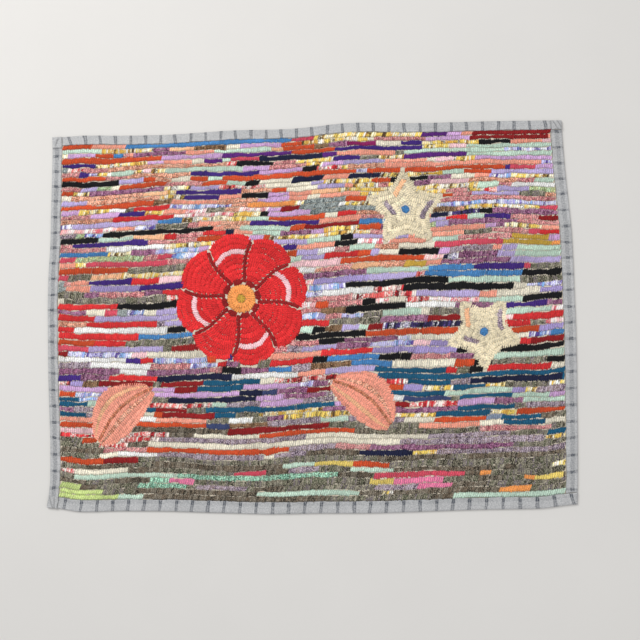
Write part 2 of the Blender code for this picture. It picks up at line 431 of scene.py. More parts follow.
def blur(rows: Array, window: Array) -> Array:
    """Weigh the values of each row with a window, wherever all of it fits."""
    return np.array([np.convolve(row, window, "valid") for row in rows])


def oval_rings(
    path: Array, rise: Array, half_width: float, half_height: float, points: int,
) -> Array:
    """Stand an oval ring across a path at each of its points: a cosine aside and a sine up.

    Args:
        path: (stations, 2) places in the plan.
        rise: (stations,) the height of the ring's middle.
        half_width: half the oval's width.
        half_height: half its height.
        points: how many points it has.

    Returns:
        (stations, points, 3) the rings.
    """
    angle = np.linspace(0, 2 * pi, points + 1)[:-1]
    plan = path[:, None, :] + half_width * np.cos(angle)[None, :, None] * side_of(path)[:, None, :]
    height = rise[:, None] + half_height * np.sin(angle)[None, :]
    return np.concatenate([plan, height[..., None]], axis=-1)[:, ::-1]


# ---- rags
class RagKind(Enum):
    """How a rag's colour changes from loop to loop, with how much of its row's width it fills."""

    PLAIN = 1.03
    TWEED = 1.07
    PRINT = 1.06


@dataclass(frozen=True)
class Rag:
    """One kind of cloth cut into strips for hooking: its main colour first, then the others."""

    kind: RagKind
    shades: tuple[str, ...]
    thickness: float

    def loops(self, count: int, draw: Draw) -> tuple[Array, Array]:
        """Colour a stretch of loops hooked from one strip of this cloth.

        Plain cloth keeps its colour and fades slowly. Tweed is flecked with another of its yarns in
        every loop. A print holds one of its colours for a few loops and then jumps to another.

        Args:
            count: how many loops.
            draw: the random draws.

        Returns:
            (count, 4) colours with how fine their flecks are as alpha, and (count, 4) fleck colours
            with how much they show as alpha.
        """
        shades = np.array([linear(code) for code in self.shades])
        picks = np.zeros(count, int)
        fine, uneven = 1.0, 0.07
        if self.kind is RagKind.PLAIN:
            specks, amount = shades[0] * 0.5, 0.35
        elif self.kind is RagKind.TWEED:
            specks, amount = (shades[draw.integers(1, len(shades), count)] + shades[1]) / 2, 1.0
        else:
            jumps = np.cumsum(draw.random(count) < 0.6)
            picks = draw.integers(0, len(shades), jumps[-1] + 1)[jumps]
            specks, amount = shades[draw.integers(0, len(shades), count)], 0.8
            fine, uneven = 0.0, 0.12
        fade = 1 + 0.09 * np.sin(np.arange(count) / draw.uniform(4, 12) + draw.uniform(0, 6))
        value = draw.uniform(0.92, 1.1) * fade * draw.uniform(1 - uneven, 1 + uneven, count)
        colours, flecks = np.full((count, 4), fine), np.full((count, 4), amount)
        colours[:, :3] = np.clip(shades[picks] * value[:, None], 0, 1)
        flecks[:, :3] = np.clip(specks * value[:, None], 0, 1)
        return colours, flecks


# The cloths, by kind and by how thick they are against the mean.
RAGS = {
    name: Rag(kind, tuple(shades.split()), thickness)
    for kind, thickness, cloths in (
        (RagKind.PLAIN, 1.1, {"black": "1b1b1d"}),
        (RagKind.PLAIN, 1.08, {"navy": "20243f", "red": "d81d20", "orange_red": "ce4710"}),
        (RagKind.PLAIN, 1.06, {"purple": "412679", "violet": "5c2579", "dark_red": "931417"}),
        (RagKind.PLAIN, 1.0, {
            "lavender": "b8a8d4", "lilac": "a393c6", "orchid": "cfa5d2", "mint": "c5ddc9",
            "cream": "ece3cd", "star_cream": "f0e1bf", "white": "f0eeea", "magenta": "8a1a5a",
            "flower_red": "e21015", "salmon": "f49f86", "rose": "d6475c", "light_pink": "f2c4c8",
            "hot_pink": "f07fa6", "orange": "f2994a", "peach": "f6bb8e", "yellow": "ecd06a",
            "gold": "c9a238", "yellow_green": "c9da88", "grey_blue": "94a3ba", "slate": "3f4a72",
            "blue": "4383bd", "teal": "185979",
        }),
        (RagKind.TWEED, 1.0, {
            "olive_tweed": "8a8471 2f2c24 c4bca8 6a7256 948692",
            "dark_tweed": "786d5d 2a2620 aca290 826e5a", "grey_tweed": "99a19e 566060 bec4c0",
            "plum_tweed": "a0668a 4e2a44 c8a2b4 a0727e", "mauve_tweed": "ae9da8 5c4b5a d0c2c8 a48c7c",
            "brown_tweed": "927052 44301f b4926e", "rust_tweed": "c87a58 a4553a e2b088",
        }),
        (RagKind.TWEED, 0.94, {
            "green_tweed": "b7c998 6c784f c4e2c4 dccc8c", "sea_tweed": "a6d5ba 4a7b63 c4e6ca 8a8672",
            "salmon_tweed": "e4a488 a05e42 eec6ac",
        }),
        (RagKind.TWEED, 0.92, {"rose_tweed": "d68e8c 8e444c eac4b8 cc9a92"}),
        (RagKind.PRINT, 0.9, {"dark_print": "2e2a48 18161f ece8f0 5c4a90 2e2a48"}),
        (RagKind.PRINT, 0.88, {
            "yellow_print": "efcf5f f6ecc8 f4f0e6 5c4630 efcf5f d9a441",
            "sky_print": "e4e4f2 a79fda 7fa9d8 f4f3f6 5a4590 c9c4e6",
            "grey_print": "b9bed0 7c84a4 eaeaf0 4c4f78",
            "red_print": "d8262e f4e6dc e07068 d8262e 6a1a1e f4e6dc",
            "pink_print": "f6cccb faf3ee d9606c f2b6b0 faf3ee",
        }),
    ) for name, shades in cloths.items()
}


# ---- the pile
@dataclass
class LoopLine:
    """One line of loops hooked along a path.

    Attributes:
        path: (loops + 1, 2) where one loop ends and the next begins.
        width: (loops,) the line's full width at each loop.
        colours: (loops, 4) the loops' colours.
        flecks: (loops, 4) their flecks.
        lift: how much higher than the ground's loops these stand.
    """

    path: Array
    width: Array
    colours: Array
    flecks: Array
    lift: float = 0.0


@dataclass(frozen=True)
class Pile:
    """The form of the loops: sizes in millimetres, and factors of a line's width and height."""

    pitch: float = 3.25
    foot: float = 3.3
    crest: float = 5.9
    swell: float = 0.35  # how much the crests rise and fall over the rug
    sides: tuple[float, ...] = (-0.97, -1.0, -0.62, 0.62, 1.0, 0.97)
    heights: tuple[float, ...] = (0.0, 0.52, 0.98, 0.98, 0.52, 0.0)
    step_in_loop: tuple[float, ...] = (0.0, 0.30, 0.70)
    step_width: tuple[float, ...] = (0.84, 1.0, 1.0)
    step_height: tuple[float, ...] = (0.54, 1.0, 0.95)
    closed: float = 0.55  # how much of both is left where a line ends
    uneven: float = 0.10  # how much loops differ in reach and height
    lean: float = 0.28  # how far their crests stray aside
    slant: float = 0.20  # how far the loops lean along their row, for each millimetre across it
    packed: float = 1.27  # how much wider than their spacing the rows of a motif are
    girth: tuple[float, ...] = (0.0, 2.4, 4.9, 8.3, 10.8, 13.2, 14.2)

    def sweep(self, lines: list[LoopLine], draw: Draw) -> Sweep:
        """Raise the loops on their lines: a low rounded ring that swells once for each loop.

        A ring stands across the path. Its half width and its height are those of the line times
        three factors for each loop, one in the dip before it and two on its back, and every loop
        reaches a little further out or up than its neighbour.

        Args:
            lines: the lines of loops.
            draw: the random draws.

        Returns:
            The swept bodies, one for each line.
        """
        made = Sweep(np.array(self.girth))
        sides, heights = np.array(self.sides), np.array(self.heights)
        for line in lines:
            count = len(line.width)
            loop = np.append(np.repeat(np.arange(count), len(self.step_in_loop)), count - 1)
            part = np.append(np.tile(self.step_in_loop, count), 1.0)[:, None]
            centre = line.path[loop] * (1 - part) + line.path[loop + 1] * part
            normal = side_of(centre)
            wide, tall = (
                np.append(np.tile(factors, count), factors[0])
                for factors in (self.step_width, self.step_height)
            )
            for end in (0, -1):
                wide[end] *= self.closed
                tall[end] *= self.closed
            right, left = (draw.normal(1.0, self.uneven, count)[loop] for _ in range(2))
            lean = draw.normal(0.0, self.lean, count)[loop]
            rise = np.clip(1 + draw.normal(0.0, self.uneven, count), 0.75, 1.15)[loop]
            half = line.width[loop] / 2 * wide
            reach = np.where(sides[None, :] < 0, right[:, None], left[:, None]) * half[:, None]
            offset = sides[None, :] * reach + (lean * (tall > 0.9))[:, None] * (heights > 0.5)[None, :]
            swell = np.sin(2 * pi * centre[:, 0] / 310) * np.sin(2 * pi * centre[:, 1] / 230 + 0.8)
            full = self.crest - self.foot + self.swell * swell + line.lift
            height = self.foot + heights[None, :] * (full * tall * rise)[:, None]
            slanted = normal + draw.normal(self.slant, 0.12) * normal[:, ::-1] * (1, -1)
            plan = centre[:, None, :] + offset[..., None] * slanted[:, None, :]
            made.add(
                np.concatenate([plan, height[..., None]], axis=-1), length_along(centre), self.pitch,
                rag=line.colours[loop], fleck=line.flecks[loop],
            )
        return made


PILE = Pile()


def hooked_line(
    path: Array, width: float | Array, rag: str, draw: Draw, lift: float = 0.25,
) -> LoopLine:
    """Hook one rag along a path of a motif, in equal loops of about the pile's pitch.

    Args:
        path: (points, 2) a fine polyline in the plan.
        width: the line's width, or one for each point of the path.
        rag: the cloth's name.
        draw: the random draws.
        lift: how much higher than the ground it stands.

    Returns:
        The line of loops.
    """
    distance = length_along(path)
    count = max(2, round(distance[-1] / PILE.pitch))
    at = np.linspace(0, distance[-1], count + 1)
    steps = np.stack([np.interp(at, distance, path[:, axis]) for axis in (0, 1)], axis=1)
    colours, flecks = RAGS[rag].loops(count, draw)
    share = (np.arange(count) + 0.5) / count
    widths = np.interp(share, np.linspace(0, 1, len(path)), np.broadcast_to(width, len(path)))
    return LoopLine(steps, widths * PILE.packed, colours, flecks, lift)


# ---- motifs
@dataclass(frozen=True)
class Motif:
    """An ornament hooked into the ground, with the place of its middle in the plan."""

    along: float
    up: float
    vein: float = 4.6  # how wide the lines between petals and down a leaf's middle are
    vein_lift: float = 0.35

    def at(self, radius: float | Array, angle: Array) -> Array:
        """Turn a radius and an angle about the middle into a place in the plan."""
        return np.stack([self.along + radius * np.cos(angle), self.up + radius * np.sin(angle)], axis=-1)

    def seen(self, along: Array, up: Array) -> tuple[Array, Array]:
        """Give how far places of the plan lie from the middle, and in which direction."""
        east, north = along - self.along, up - self.up
        return np.hypot(east, north), np.arctan2(north, east)


@dataclass(frozen=True)
class Flower(Motif):
    """A large round flower: petals of curved rows about a small centre, parted by darker lines."""

    radius: float = 97.0
    petals: int = 8
    scallop: float = 6.0
    row: float = 7.2
    centre: tuple[str, ...] = ("gold", "orange", "orange")
    turn: float = 0.2
    rag: str = "flower_red"
    clear: float = 2.9  # from the middle of a line between petals to the rows of a petal

    @property
    def core(self) -> float:
        """Give the radius of the centre."""
        return len(self.centre) * self.row

    def rim(self, angle: Array, inset: float) -> Array:
        """Give the radius of a row: the scalloped rim less its inset, and rounder further in.

        Args:
            angle: the directions it is wanted in.
            inset: how far inside the rim the row lies.

        Returns:
            The radius in each direction.
        """
        fading = max(0.0, 1 - 1.1 * inset / self.radius)
        wave = np.abs(np.cos(self.petals * (angle - self.turn) / 2)) ** 0.7 - 0.55
        return self.radius - inset + self.scallop * fading * 2 * wave

    def sway(self, radius: float | Array) -> float | Array:
        """Give how far round the side of a petal bends at a radius."""
        return 0.10 * np.sin(pi * (radius - self.core) / (self.radius - self.core))

    def covers(self, along: Array, up: Array) -> Array:
        """Say which places of the plan lie under the flower."""
        distance, angle = self.seen(along, up)
        return distance < self.rim(angle, 0.0) - 0.6

    def lines(self, draw: Draw) -> list[LoopLine]:
        """Hook the flower: rings in the middle, arcs in each petal, and a line between petals.

        Args:
            draw: the random draws.

        Returns:
            Its lines of loops.
        """
        made = []
        for k, rag in enumerate(self.centre):
            ring = self.at((k + 0.5) * self.row, np.linspace(0, 2 * pi + 0.5 / (k + 0.5), 90))
            made.append(hooked_line(ring, self.row * (1 if k else 0.8), rag, draw))
        rows = int((self.radius - self.core) / self.row)
        depth = (self.radius - self.core) / rows
        step = 2 * pi / self.petals
        for petal in range(self.petals):
            first = self.turn + (petal - 0.5) * step
            reach = np.linspace(self.core + 0.5 * depth, self.rim(first, 0.0) - 0.5, 40)
            parting = self.at(reach, first + self.sway(reach))
            made.append(hooked_line(parting, self.vein, "dark_red", draw, self.vein_lift))
            for k in range(rows):
                inset = (k + 0.5) * depth
                side = first + self.sway(self.radius - inset)
                free = self.clear / (self.radius - inset)
                angle = np.linspace(side + free, side + step - free, 60)
                rag = "light_pink" if k == 3 and petal % 2 == 0 else self.rag
                rag = "dark_red" if k == rows - 1 else rag
                made.append(hooked_line(self.at(self.rim(angle, inset), angle), depth * 0.96, rag, draw))
        return made


@dataclass(frozen=True)
class Star(Motif):
    """A star of nested outlines, in straight rows from notch to point."""

    radius: float = 66.0
    notch: float = 0.56
    points: int = 5
    row: float = 7.0
    turn: float = 0.3
    rag: str = "star_cream"

    @property
    def edge(self) -> Array:
        """Give the run from a point of the star, which faces along the plan, to the next notch."""
        step = pi / self.points
        return self.notch * self.radius * np.array([np.cos(step), np.sin(step)]) - (self.radius, 0.0)

    def covers(self, along: Array, up: Array) -> Array:
        """Say which points lie under the star: those nearer than its edge in their own direction.

        Args:
            along: the points' places along the rug.
            up: their places up it.

        Returns:
            True for those under it.
        """
        step = pi / self.points
        distance, angle = self.seen(along, up)
        angle = np.mod(angle - self.turn, 2 * step)
        angle = np.minimum(angle, 2 * step - angle)
        run, rise = self.edge
        return distance < self.radius * rise / (np.cos(angle) * rise - np.sin(angle) * run) - 1.6

    def lines(self, draw: Draw) -> list[LoopLine]:
        """Hook the star: one row round each nested outline, parts of it in other rags, and an eye.

        Args:
            draw: the random draws.

        Returns:
            Its lines of loops.
        """
        across = self.radius * self.edge[1] / np.hypot(*self.edge)
        rows = round(across / self.row)
        corner = np.arange(2 * self.points)
        angle = self.turn + corner * pi / self.points
        radius = np.where(corner % 2 == 0, 1.0, self.notch) * self.radius
        whole = 16 * len(corner)
        rags = {
            1: ((0, 29, self.rag), (29, 48, "peach"), (48, 140, self.rag), (140, whole, "mauve_tweed")),
            2: ((0, 60, self.rag), (60, 82, "mauve_tweed"), (82, whole, self.rag)),
        }
        made = []
        for k in range(rows - 1):
            ring = self.at(radius * (1 - (k + 0.5) / rows), angle)
            fine = np.linspace(ring, np.roll(ring, -1, axis=0), 16, endpoint=False, axis=1).reshape(-1, 2)
            soft = np.mean([np.roll(fine, shift, axis=0) for shift in range(-3, 4)], axis=0)
            closed = np.concatenate([soft, soft[:1]])
            for first, last, rag in rags.get(k, ((0, whole, self.rag),)):
                made.append(hooked_line(closed[first:last + 1], across / rows, rag, draw))
        eye = self.at(0.42 * self.row, np.linspace(0, 2.5 * pi, 40))
        return [*made, hooked_line(eye, 0.8 * self.row, "blue", draw)]


@dataclass(frozen=True)
class Leaf(Motif):
    """A leaf hooked in rows that run from its stalk to its tip, side by side."""

    length: float = 128.0
    half_width: float = 36.0
    turn: float = 0.6
    bend: float = 14.0
    rows: int = 5
    rag: str = "salmon"
    clear: float = 2.2  # from the midrib's middle to the rows beside it
    tip: float = 9.0  # half the leaf's width where its rows stop, short of both ends

    def half(self, share: Array) -> Array:
        """Give the leaf's half width there: nothing at its ends and fullest before its middle."""
        return self.half_width * np.sin(pi * np.clip(share, 0, 1) ** 0.85) ** 0.75

    def spine(self, share: Array) -> Array:
        """Give how far the midrib bends aside there."""
        return self.bend * np.sin(pi * share)

    def point(self, share: Array, aside: float | Array) -> Array:
        """Place a point of the leaf in the plan.

        Args:
            share: its share of the leaf's length.
            aside: how far it lies from the midrib.

        Returns:
            (..., 2) its place.
        """
        run = (share - 0.5) * self.length
        across = aside + self.spine(share) - self.bend / 2
        cos, sin = np.cos(self.turn), np.sin(self.turn)
        return np.stack([self.along + run * cos - across * sin, self.up + run * sin + across * cos], axis=-1)

    def covers(self, along: Array, up: Array) -> Array:
        """Say which points lie under the leaf: those within its half width of the midrib.

        Args:
            along: the points' places along the rug.
            up: their places up it.

        Returns:
            True for those under it.
        """
        east, north = along - self.along, up - self.up
        cos, sin = np.cos(self.turn), np.sin(self.turn)
        share = (east * cos + north * sin) / self.length + 0.5
        aside = north * cos - east * sin - self.spine(share) + self.bend / 2
        reach = np.where(self.half(share) > self.tip, self.half(share) - 0.6, 1.5)
        return (share > 0.03) & (share < 0.97) & (np.abs(aside) < reach)

    def lines(self, draw: Draw) -> list[LoopLine]:
        """Hook the leaf: a midrib, and rows on both sides that narrow towards its ends.

        Args:
            draw: the random draws.

        Returns:
            Its lines of loops.
        """
        share = np.linspace(0.03, 0.97, 80)
        made = [hooked_line(self.point(share, 0.0), self.vein, "rust_tweed", draw, self.vein_lift)]
        share = share[self.half(share) > self.tip]
        room = self.half(share) - self.clear
        width = np.clip(room / self.rows * 0.97, 2.2, 9.0)
        for side, odd_row, odd_rag in ((-1, 1, "salmon_tweed"), (1, 2, "peach")):
            for k in range(self.rows):
                line = self.point(share, side * (self.clear + room * ((k + 0.5) / self.rows)))
                made.append(hooked_line(line, width, odd_rag if k == odd_row else self.rag, draw))
        return made


MOTIFS = (
    Flower(along=305.0, up=322.0),
    Star(along=560.0, up=452.0, turn=0.32),
    Star(along=672.0, up=262.0, radius=62.0, turn=0.95),
    Leaf(along=118.0, up=150.0, turn=0.75),
    Leaf(along=488.0, up=166.0, length=120.0, turn=2.5, bend=-14.0),
)


# ---- the striped ground
# Which rags the ground is hooked from, from the bottom up: share of the field where the zone starts,
# the usual length of one stripe there in millimetres, and the rags with their weights.
ZONES = (
    (0.00, 60.0, dict(
        olive_tweed=32, dark_tweed=34, mint=1.5, sea_tweed=2, hot_pink=0.8, rose=1.2, yellow=1.2,
        orange=0.8, yellow_green=0.5, mauve_tweed=2, yellow_print=1,
    )),
    (0.10, 70.0, dict(
        mauve_tweed=4, olive_tweed=6, dark_tweed=4, grey_blue=1.6, teal=1.5, orange_red=4, cream=4, white=2,
        navy=0.8, dark_red=2, yellow_print=3, slate=0.6, plum_tweed=2, salmon=2, red_print=2, rose_tweed=2,
        light_pink=1,
    )),
    (0.22, 60.0, dict(
        teal=4.6, navy=1.6, grey_blue=2.6, mauve_tweed=3.5, orchid=4, mint=2.5, olive_tweed=3.4,
        dark_red=1.5, orange_red=2.2, red_print=2, plum_tweed=2.8, yellow_print=1.5, sky_print=1.8,
        slate=0.8, purple=1, lilac=1, white=1.2, cream=1.4, rose_tweed=1.5, brown_tweed=0.8,
    )),
    (0.34, 54.0, dict(
        lavender=4, lilac=1.5, olive_tweed=4.8, black=4.2, cream=4, red=4.4, purple=3, mint=2.6,
        plum_tweed=5, blue=1.6, sky_print=2.6, rose_tweed=3.8, pink_print=2.4, orange_red=2.2, salmon=1.6,
        grey_tweed=1, rose=1.6, dark_red=1, white=1.2, dark_print=0.8, violet=0.8, light_pink=1.2,
        red_print=1.5, mauve_tweed=1.6, salmon_tweed=1, brown_tweed=0.6,
    )),
    (0.64, 46.0, dict(
        lavender=2.8, mint=2.8, purple=2.2, salmon=5, orchid=2, yellow_print=5.5, red=3, black=2.4,
        plum_tweed=3.2, cream=2.8, rose_tweed=4, sky_print=2.6, orange_red=3.2, olive_tweed=3,
        pink_print=2.4, blue=0.8, navy=0.4, grey_tweed=1, salmon_tweed=3.2, rose=1.6, green_tweed=1,
        brown_tweed=1.2, dark_print=0.8, orange=0.8, violet=0.7, dark_red=0.8, gold=0.6, peach=1.3,
        white=0.8, mauve_tweed=1,
    )),
    (0.84, 50.0, dict(
        yellow_print=6.5, mint=3.4, orchid=3, salmon=5.4, purple=1.6, orange_red=3.4, sky_print=2.6,
        olive_tweed=2.6, rose_tweed=3.2, black=1, lavender=1.8, navy=0.4, salmon_tweed=3.4, green_tweed=1.8,
        cream=2.8, violet=0.7, red_print=1.5, peach=1.8, rose=1, brown_tweed=1.4, blue=0.5, plum_tweed=1.5,
        grey_tweed=0.6, white=0.8, light_pink=1.2, gold=0.4,
    )),
)

# The longest and strongest stripes: thousandths of the way up the field, hundredths of the way along
# it where each starts and ends, and its rag.
MAIN_STRIPES = (
    (990, 14, 49, "blue"), (990, 52, 74, "yellow_print"), (990, 84, 100, "dark_red"),
    (975, 75, 84, "orchid"), (975, 84, 99, "dark_red"), (970, 59, 65, "magenta"),
    (960, 0, 21, "orange_red"), (955, 34, 48, "violet"), (950, 57, 75, "purple"), (950, 84, 100, "mint"),
    (940, 0, 7, "purple"), (935, 84, 100, "mint"), (940, 41, 54, "navy"), (925, 71, 84, "violet"),
    (920, 84, 100, "orchid"), (920, 26, 38, "mint"), (910, 38, 50, "orchid"), (910, 67, 93, "salmon"),
    (900, 30, 41, "purple"), (900, 41, 53, "black"), (895, 63, 91, "orange_red"), (890, 0, 12, "black"),
    (885, 34, 61, "orange_red"), (885, 74, 83, "purple"), (870, 5, 22, "plum_tweed"),
    (850, 24, 37, "purple"), (840, 37, 43, "black"), (820, 0, 10, "orange_red"), (770, 2, 20, "lavender"),
    (750, 9, 15, "black"), (710, 3, 18, "purple"), (690, 0, 10, "blue"), (645, 0, 14, "orange_red"),
    (630, 77, 91, "plum_tweed"), (605, 62, 74, "mint"), (590, 73, 87, "blue"), (590, 92, 100, "black"),
    (575, 78, 92, "mint"), (580, 26, 38, "blue"), (555, 69, 91, "black"), (540, 0, 10, "red"),
    (540, 12, 23, "black"), (540, 72, 83, "lavender"), (520, 92, 100, "black"), (500, 8, 26, "lavender"),
    (500, 88, 97, "purple"), (480, 83, 98, "mint"), (465, 22, 38, "black"), (460, 84, 94, "red"),
    (450, 0, 16, "red"), (450, 16, 38, "blue"), (430, 14, 38, "olive_tweed"), (425, 71, 93, "cream"),
    (410, 18, 30, "cream"), (385, 79, 100, "black"), (370, 84, 100, "mint"), (370, 64, 71, "black"),
    (350, 0, 13, "plum_tweed"), (330, 20, 35, "navy"), (335, 63, 77, "teal"), (320, 63, 98, "teal"),
    (300, 0, 14, "orchid"), (300, 82, 100, "navy"), (285, 12, 37, "orchid"), (270, 22, 40, "navy"),
    (275, 62, 77, "teal"), (235, 0, 6, "teal"), (250, 30, 56, "teal"), (215, 75, 85, "teal"),
    (205, 15, 30, "orange_red"), (200, 75, 85, "orange_red"), (195, 34, 54, "dark_red"),
    (180, 27, 41, "cream"), (180, 41, 59, "orange_red"), (165, 20, 50, "mauve_tweed"),
    (152, 0, 8, "olive_tweed"), (138, 0, 9, "dark_tweed"), (122, 0, 8, "olive_tweed"),
    (152, 18, 68, "cream"), (152, 74, 96, "mauve_tweed"), (138, 18, 46, "orange_red"),
    (138, 62, 90, "plum_tweed"), (122, 20, 41, "mauve_tweed"), (122, 60, 71, "navy"),
    (122, 76, 100, "mauve_tweed"), (106, 16, 58, "olive_tweed"), (106, 80, 100, "dark_tweed"),
    (88, 18, 45, "dark_tweed"), (88, 45, 51, "mint"), (88, 52, 59, "yellow"), (88, 66, 100, "olive_tweed"),
    (72, 20, 35, "olive_tweed"), (72, 35, 41, "rose"), (66, 63, 81, "rose"), (58, 3, 24, "mint"),
    (58, 24, 56, "sea_tweed"), (46, 22, 27, "hot_pink"), (45, 27, 62, "olive_tweed"),
    (45, 94, 100, "yellow"), (36, 72, 78, "hot_pink"), (28, 16, 40, "dark_tweed"), (28, 40, 60, "mint"),
    (28, 88, 93, "orange"), (14, 0, 13, "yellow_green"), (14, 22, 74, "olive_tweed"), (2, 2, 17, "mint"),
    (2, 17, 54, "dark_tweed"), (2, 79, 100, "mint"),
)


@dataclass
class StripedGround:
    """The hit-or-miss ground: wavy rows from edge to edge, each pieced from stretches of rag.

    Attributes:
        bands: how many objects the rows are shared among.
        ragged_end: how far a row may stop short of the field's sides, in millimetres.
        reach: over how many rows a thick rag pushes its neighbours aside.
        wander: how far the lines between rows stray, in millimetres.
        samples: at how many places along the rug these lines are worked out.
        spans: how long a random stripe is at least and at most, in millimetres.
        rest: what is left of a stretch joins its last stripe if it is shorter than this.
        again: how often a stripe repeats the rag below it.
        least: how long a main stripe is at least, and the shortest gap before it that is filled.
        sliver: the shortest stretch at the end of a row that is filled.
        parting: how far out of the common, in deviations, loops are where rows part.
        parted: what is left of the loops' width there.
        stripes: (start, end, rag) for each stripe of each row, from piece_rows().
        along: (samples,) the places along the rug, from lay_edges().
        edges: (rows + 1, samples) how far up the rug the lines lie there, from the same.
    """

    bands: int = 14
    ragged_end: float = 1.0
    reach: float = 2.0
    wander: float = 0.6
    samples: int = 270
    spans: tuple[float, float] = (9.0, 260.0)
    rest: float = 12.0
    again: float = 0.16
    least: float = 6.0
    sliver: float = 2.0
    parting: float = 1.3
    parted: float = 0.78
    stripes: list = field(default_factory=list)
    along: Array | None = None
    edges: Array | None = None

    def fill_stripe(self, low: float, high: float, share: float, below: list, draw: Draw) -> list:
        """Piece the stretch between two main stripes from random rags of the zone.

        Args:
            low: where the stretch starts along the rug.
            high: where it ends.
            share: the row's share up the field.
            below: the row below, as (start, end, rag).
            draw: the random draws.

        Returns:
            (start, end, rag) for each stripe.
        """
        blurred = max(share + draw.normal(0, 0.012), 0.0)
        _, usual, weights = [zone for zone in ZONES if zone[0] <= blurred][-1]
        names = list(weights)
        chance = np.array(list(weights.values()), float)
        chance /= chance.sum()
        made, place, last = [], low, ""
        while place < high:
            span = np.clip(usual * np.exp(draw.normal(-0.2, 0.66)), *self.spans)
            under = next((rag for start, end, rag in below if start <= place + span / 2 < end), "")
            rag = draw.choice(names, p=chance)
            if rag in (last, under):
                rag = draw.choice(names, p=chance)
            if under in names and under != last and draw.random() < self.again:
                rag = under
            end = high if high - place - span < self.rest else place + span
            made.append((place, end, rag))
            place, last = end, rag
        return made

    def piece_rows(self, draw: Draw) -> None:
        """Fill every row with its main stripes and random ones between them.

        Args:
            draw: the random draws.
        """
        low, high = PLAN.field_box[:2]
        middles = PLAN.row_edges()[1::2]
        main = [[] for _ in middles]
        for share, start, end, rag in MAIN_STRIPES:
            nearest = np.argmin(np.abs(middles - share / 1000))
            ends = low + np.array([start, end]) / 100 * (high - low) + draw.normal(0, 2.5, 2)
            main[nearest].append((*ends, rag))
        below: list = []
        for share, chosen in zip(middles, main):
            row, place = [], low
            for start, end, rag in sorted(chosen):
                if start - place > self.least:
                    row += self.fill_stripe(place, start, share, below, draw)
                    place = start
                row.append((place, max(end, start + self.least, place + self.least), rag))
                place = row[-1][1]
            if high - place > self.sliver:
                row += self.fill_stripe(place, high, share, below, draw)
            self.stripes.append(row)
            below = row

    def lay_edges(self, draw: Draw) -> None:
        """Work out the lines between rows: the plan's, moved aside by thick and thin rags.

        A rag thicker than the mean pushes the lines above it up and those below it down, by half its
        surplus width next to it and less and less further off. Every line also wanders a little.

        Args:
            draw: the random draws.
        """
        low, high = PLAN.field_box[:2]
        self.along = np.linspace(low, high, self.samples)
        thickness = np.ones((PLAN.rows, self.samples))
        for number, row in enumerate(self.stripes):
            for start, end, rag in row:
                here = (self.along >= start) & (self.along < end)
                taper = draw.normal(0, 0.08) * np.linspace(-1, 1, np.count_nonzero(here))
                thickness[number, here] = RAGS[rag].thickness * np.exp(draw.normal(0.03, 0.07) + taper)
        soft = np.hanning(5) / np.hanning(5).sum()
        thickness = blur(np.pad(thickness, ((0, 0), (2, 2)), "edge"), soft)
        lines = np.arange(PLAN.rows + 1)[:, None]
        apart = lines - np.arange(PLAN.rows) - 0.5
        push = 0.5 * np.sign(apart) * np.exp(-(np.abs(apart) - 0.5) / self.reach)
        self.edges = PLAN.row_line(self.along[None, :], PLAN.row_edges()[::2, None])
        space = np.diff(self.edges, axis=0)
        window = np.hanning(13)[1:-1]
        noise = blur(draw.normal(size=(PLAN.rows + 1, self.samples + len(window) - 1)), window)
        noise = noise / noise.std() * self.wander
        fade = np.clip(np.minimum(lines, PLAN.rows - lines) / 2.0, 0, 1)
        self.edges += fade * (push @ (space * (thickness - 1)) + noise)

    def row_loops(self, number: int, draw: Draw) -> list[LoopLine]:
        """Hook one row, broken where a motif lies.

        Args:
            number: the row, from the bottom.
            draw: the random draws.

        Returns:
            A line of loops for each unbroken part of the row.
        """
        low, high = PLAN.field_box[:2]
        low, high = low + draw.uniform(0, self.ragged_end), high - draw.uniform(0, self.ragged_end)
        count = round((high - low) / PILE.pitch)
        along = np.linspace(low, high, count + 1)
        along[1:-1] += draw.normal(0, 0.3, count - 1).clip(-0.9, 0.9)
        middle = (along[1:] + along[:-1]) / 2
        lower, upper = self.edges[number], self.edges[number + 1]
        up = np.interp(along, self.along, (lower + upper) / 2)
        width = np.interp(middle, self.along, upper - lower)
        colours, flecks = np.zeros((2, count, 4))
        for start, end, rag in self.stripes[number]:
            here = (middle >= start) & (middle < end)
            if here.any():
                colours[here], flecks[here] = RAGS[rag].loops(np.count_nonzero(here), draw)
                width[here] *= RAGS[rag].kind.value
        slack = np.convolve(draw.normal(size=count + 6), np.hanning(9)[1:-1], "valid")
        width[slack > self.parting * slack.std()] *= self.parted
        path = np.stack([along, up], axis=1)
        bare = np.any([motif.covers(middle, (up[1:] + up[:-1]) / 2) for motif in MOTIFS], axis=0)
        cuts = np.nonzero(np.diff(bare, prepend=True, append=True))[0]
        return [
            LoopLine(path[a:b + 1], width[a:b], colours[a:b], flecks[a:b])
            for a, b in zip(cuts[::2], cuts[1::2]) if b - a > 1
        ]

    def build(self, material: Material, draw: Draw) -> list[Object]:
        """Hook all the rows, a few rows to each object.

        Args:
            material: the rags.
            draw: the random draws.

        Returns:
            The objects, from the bottom up.
        """
        self.piece_rows(draw)
        self.lay_edges(draw)
        rows = [self.row_loops(number, draw) for number in range(PLAN.rows)]
        cuts = np.linspace(0, PLAN.rows, self.bands + 1).round().astype(int)
        return [
            PILE.sweep(sum(rows[first:last], []), draw).build(f"hooked_rows_{band:02d}", material)
            for band, (first, last) in enumerate(zip(cuts[:-1], cuts[1:]), 1)
        ]


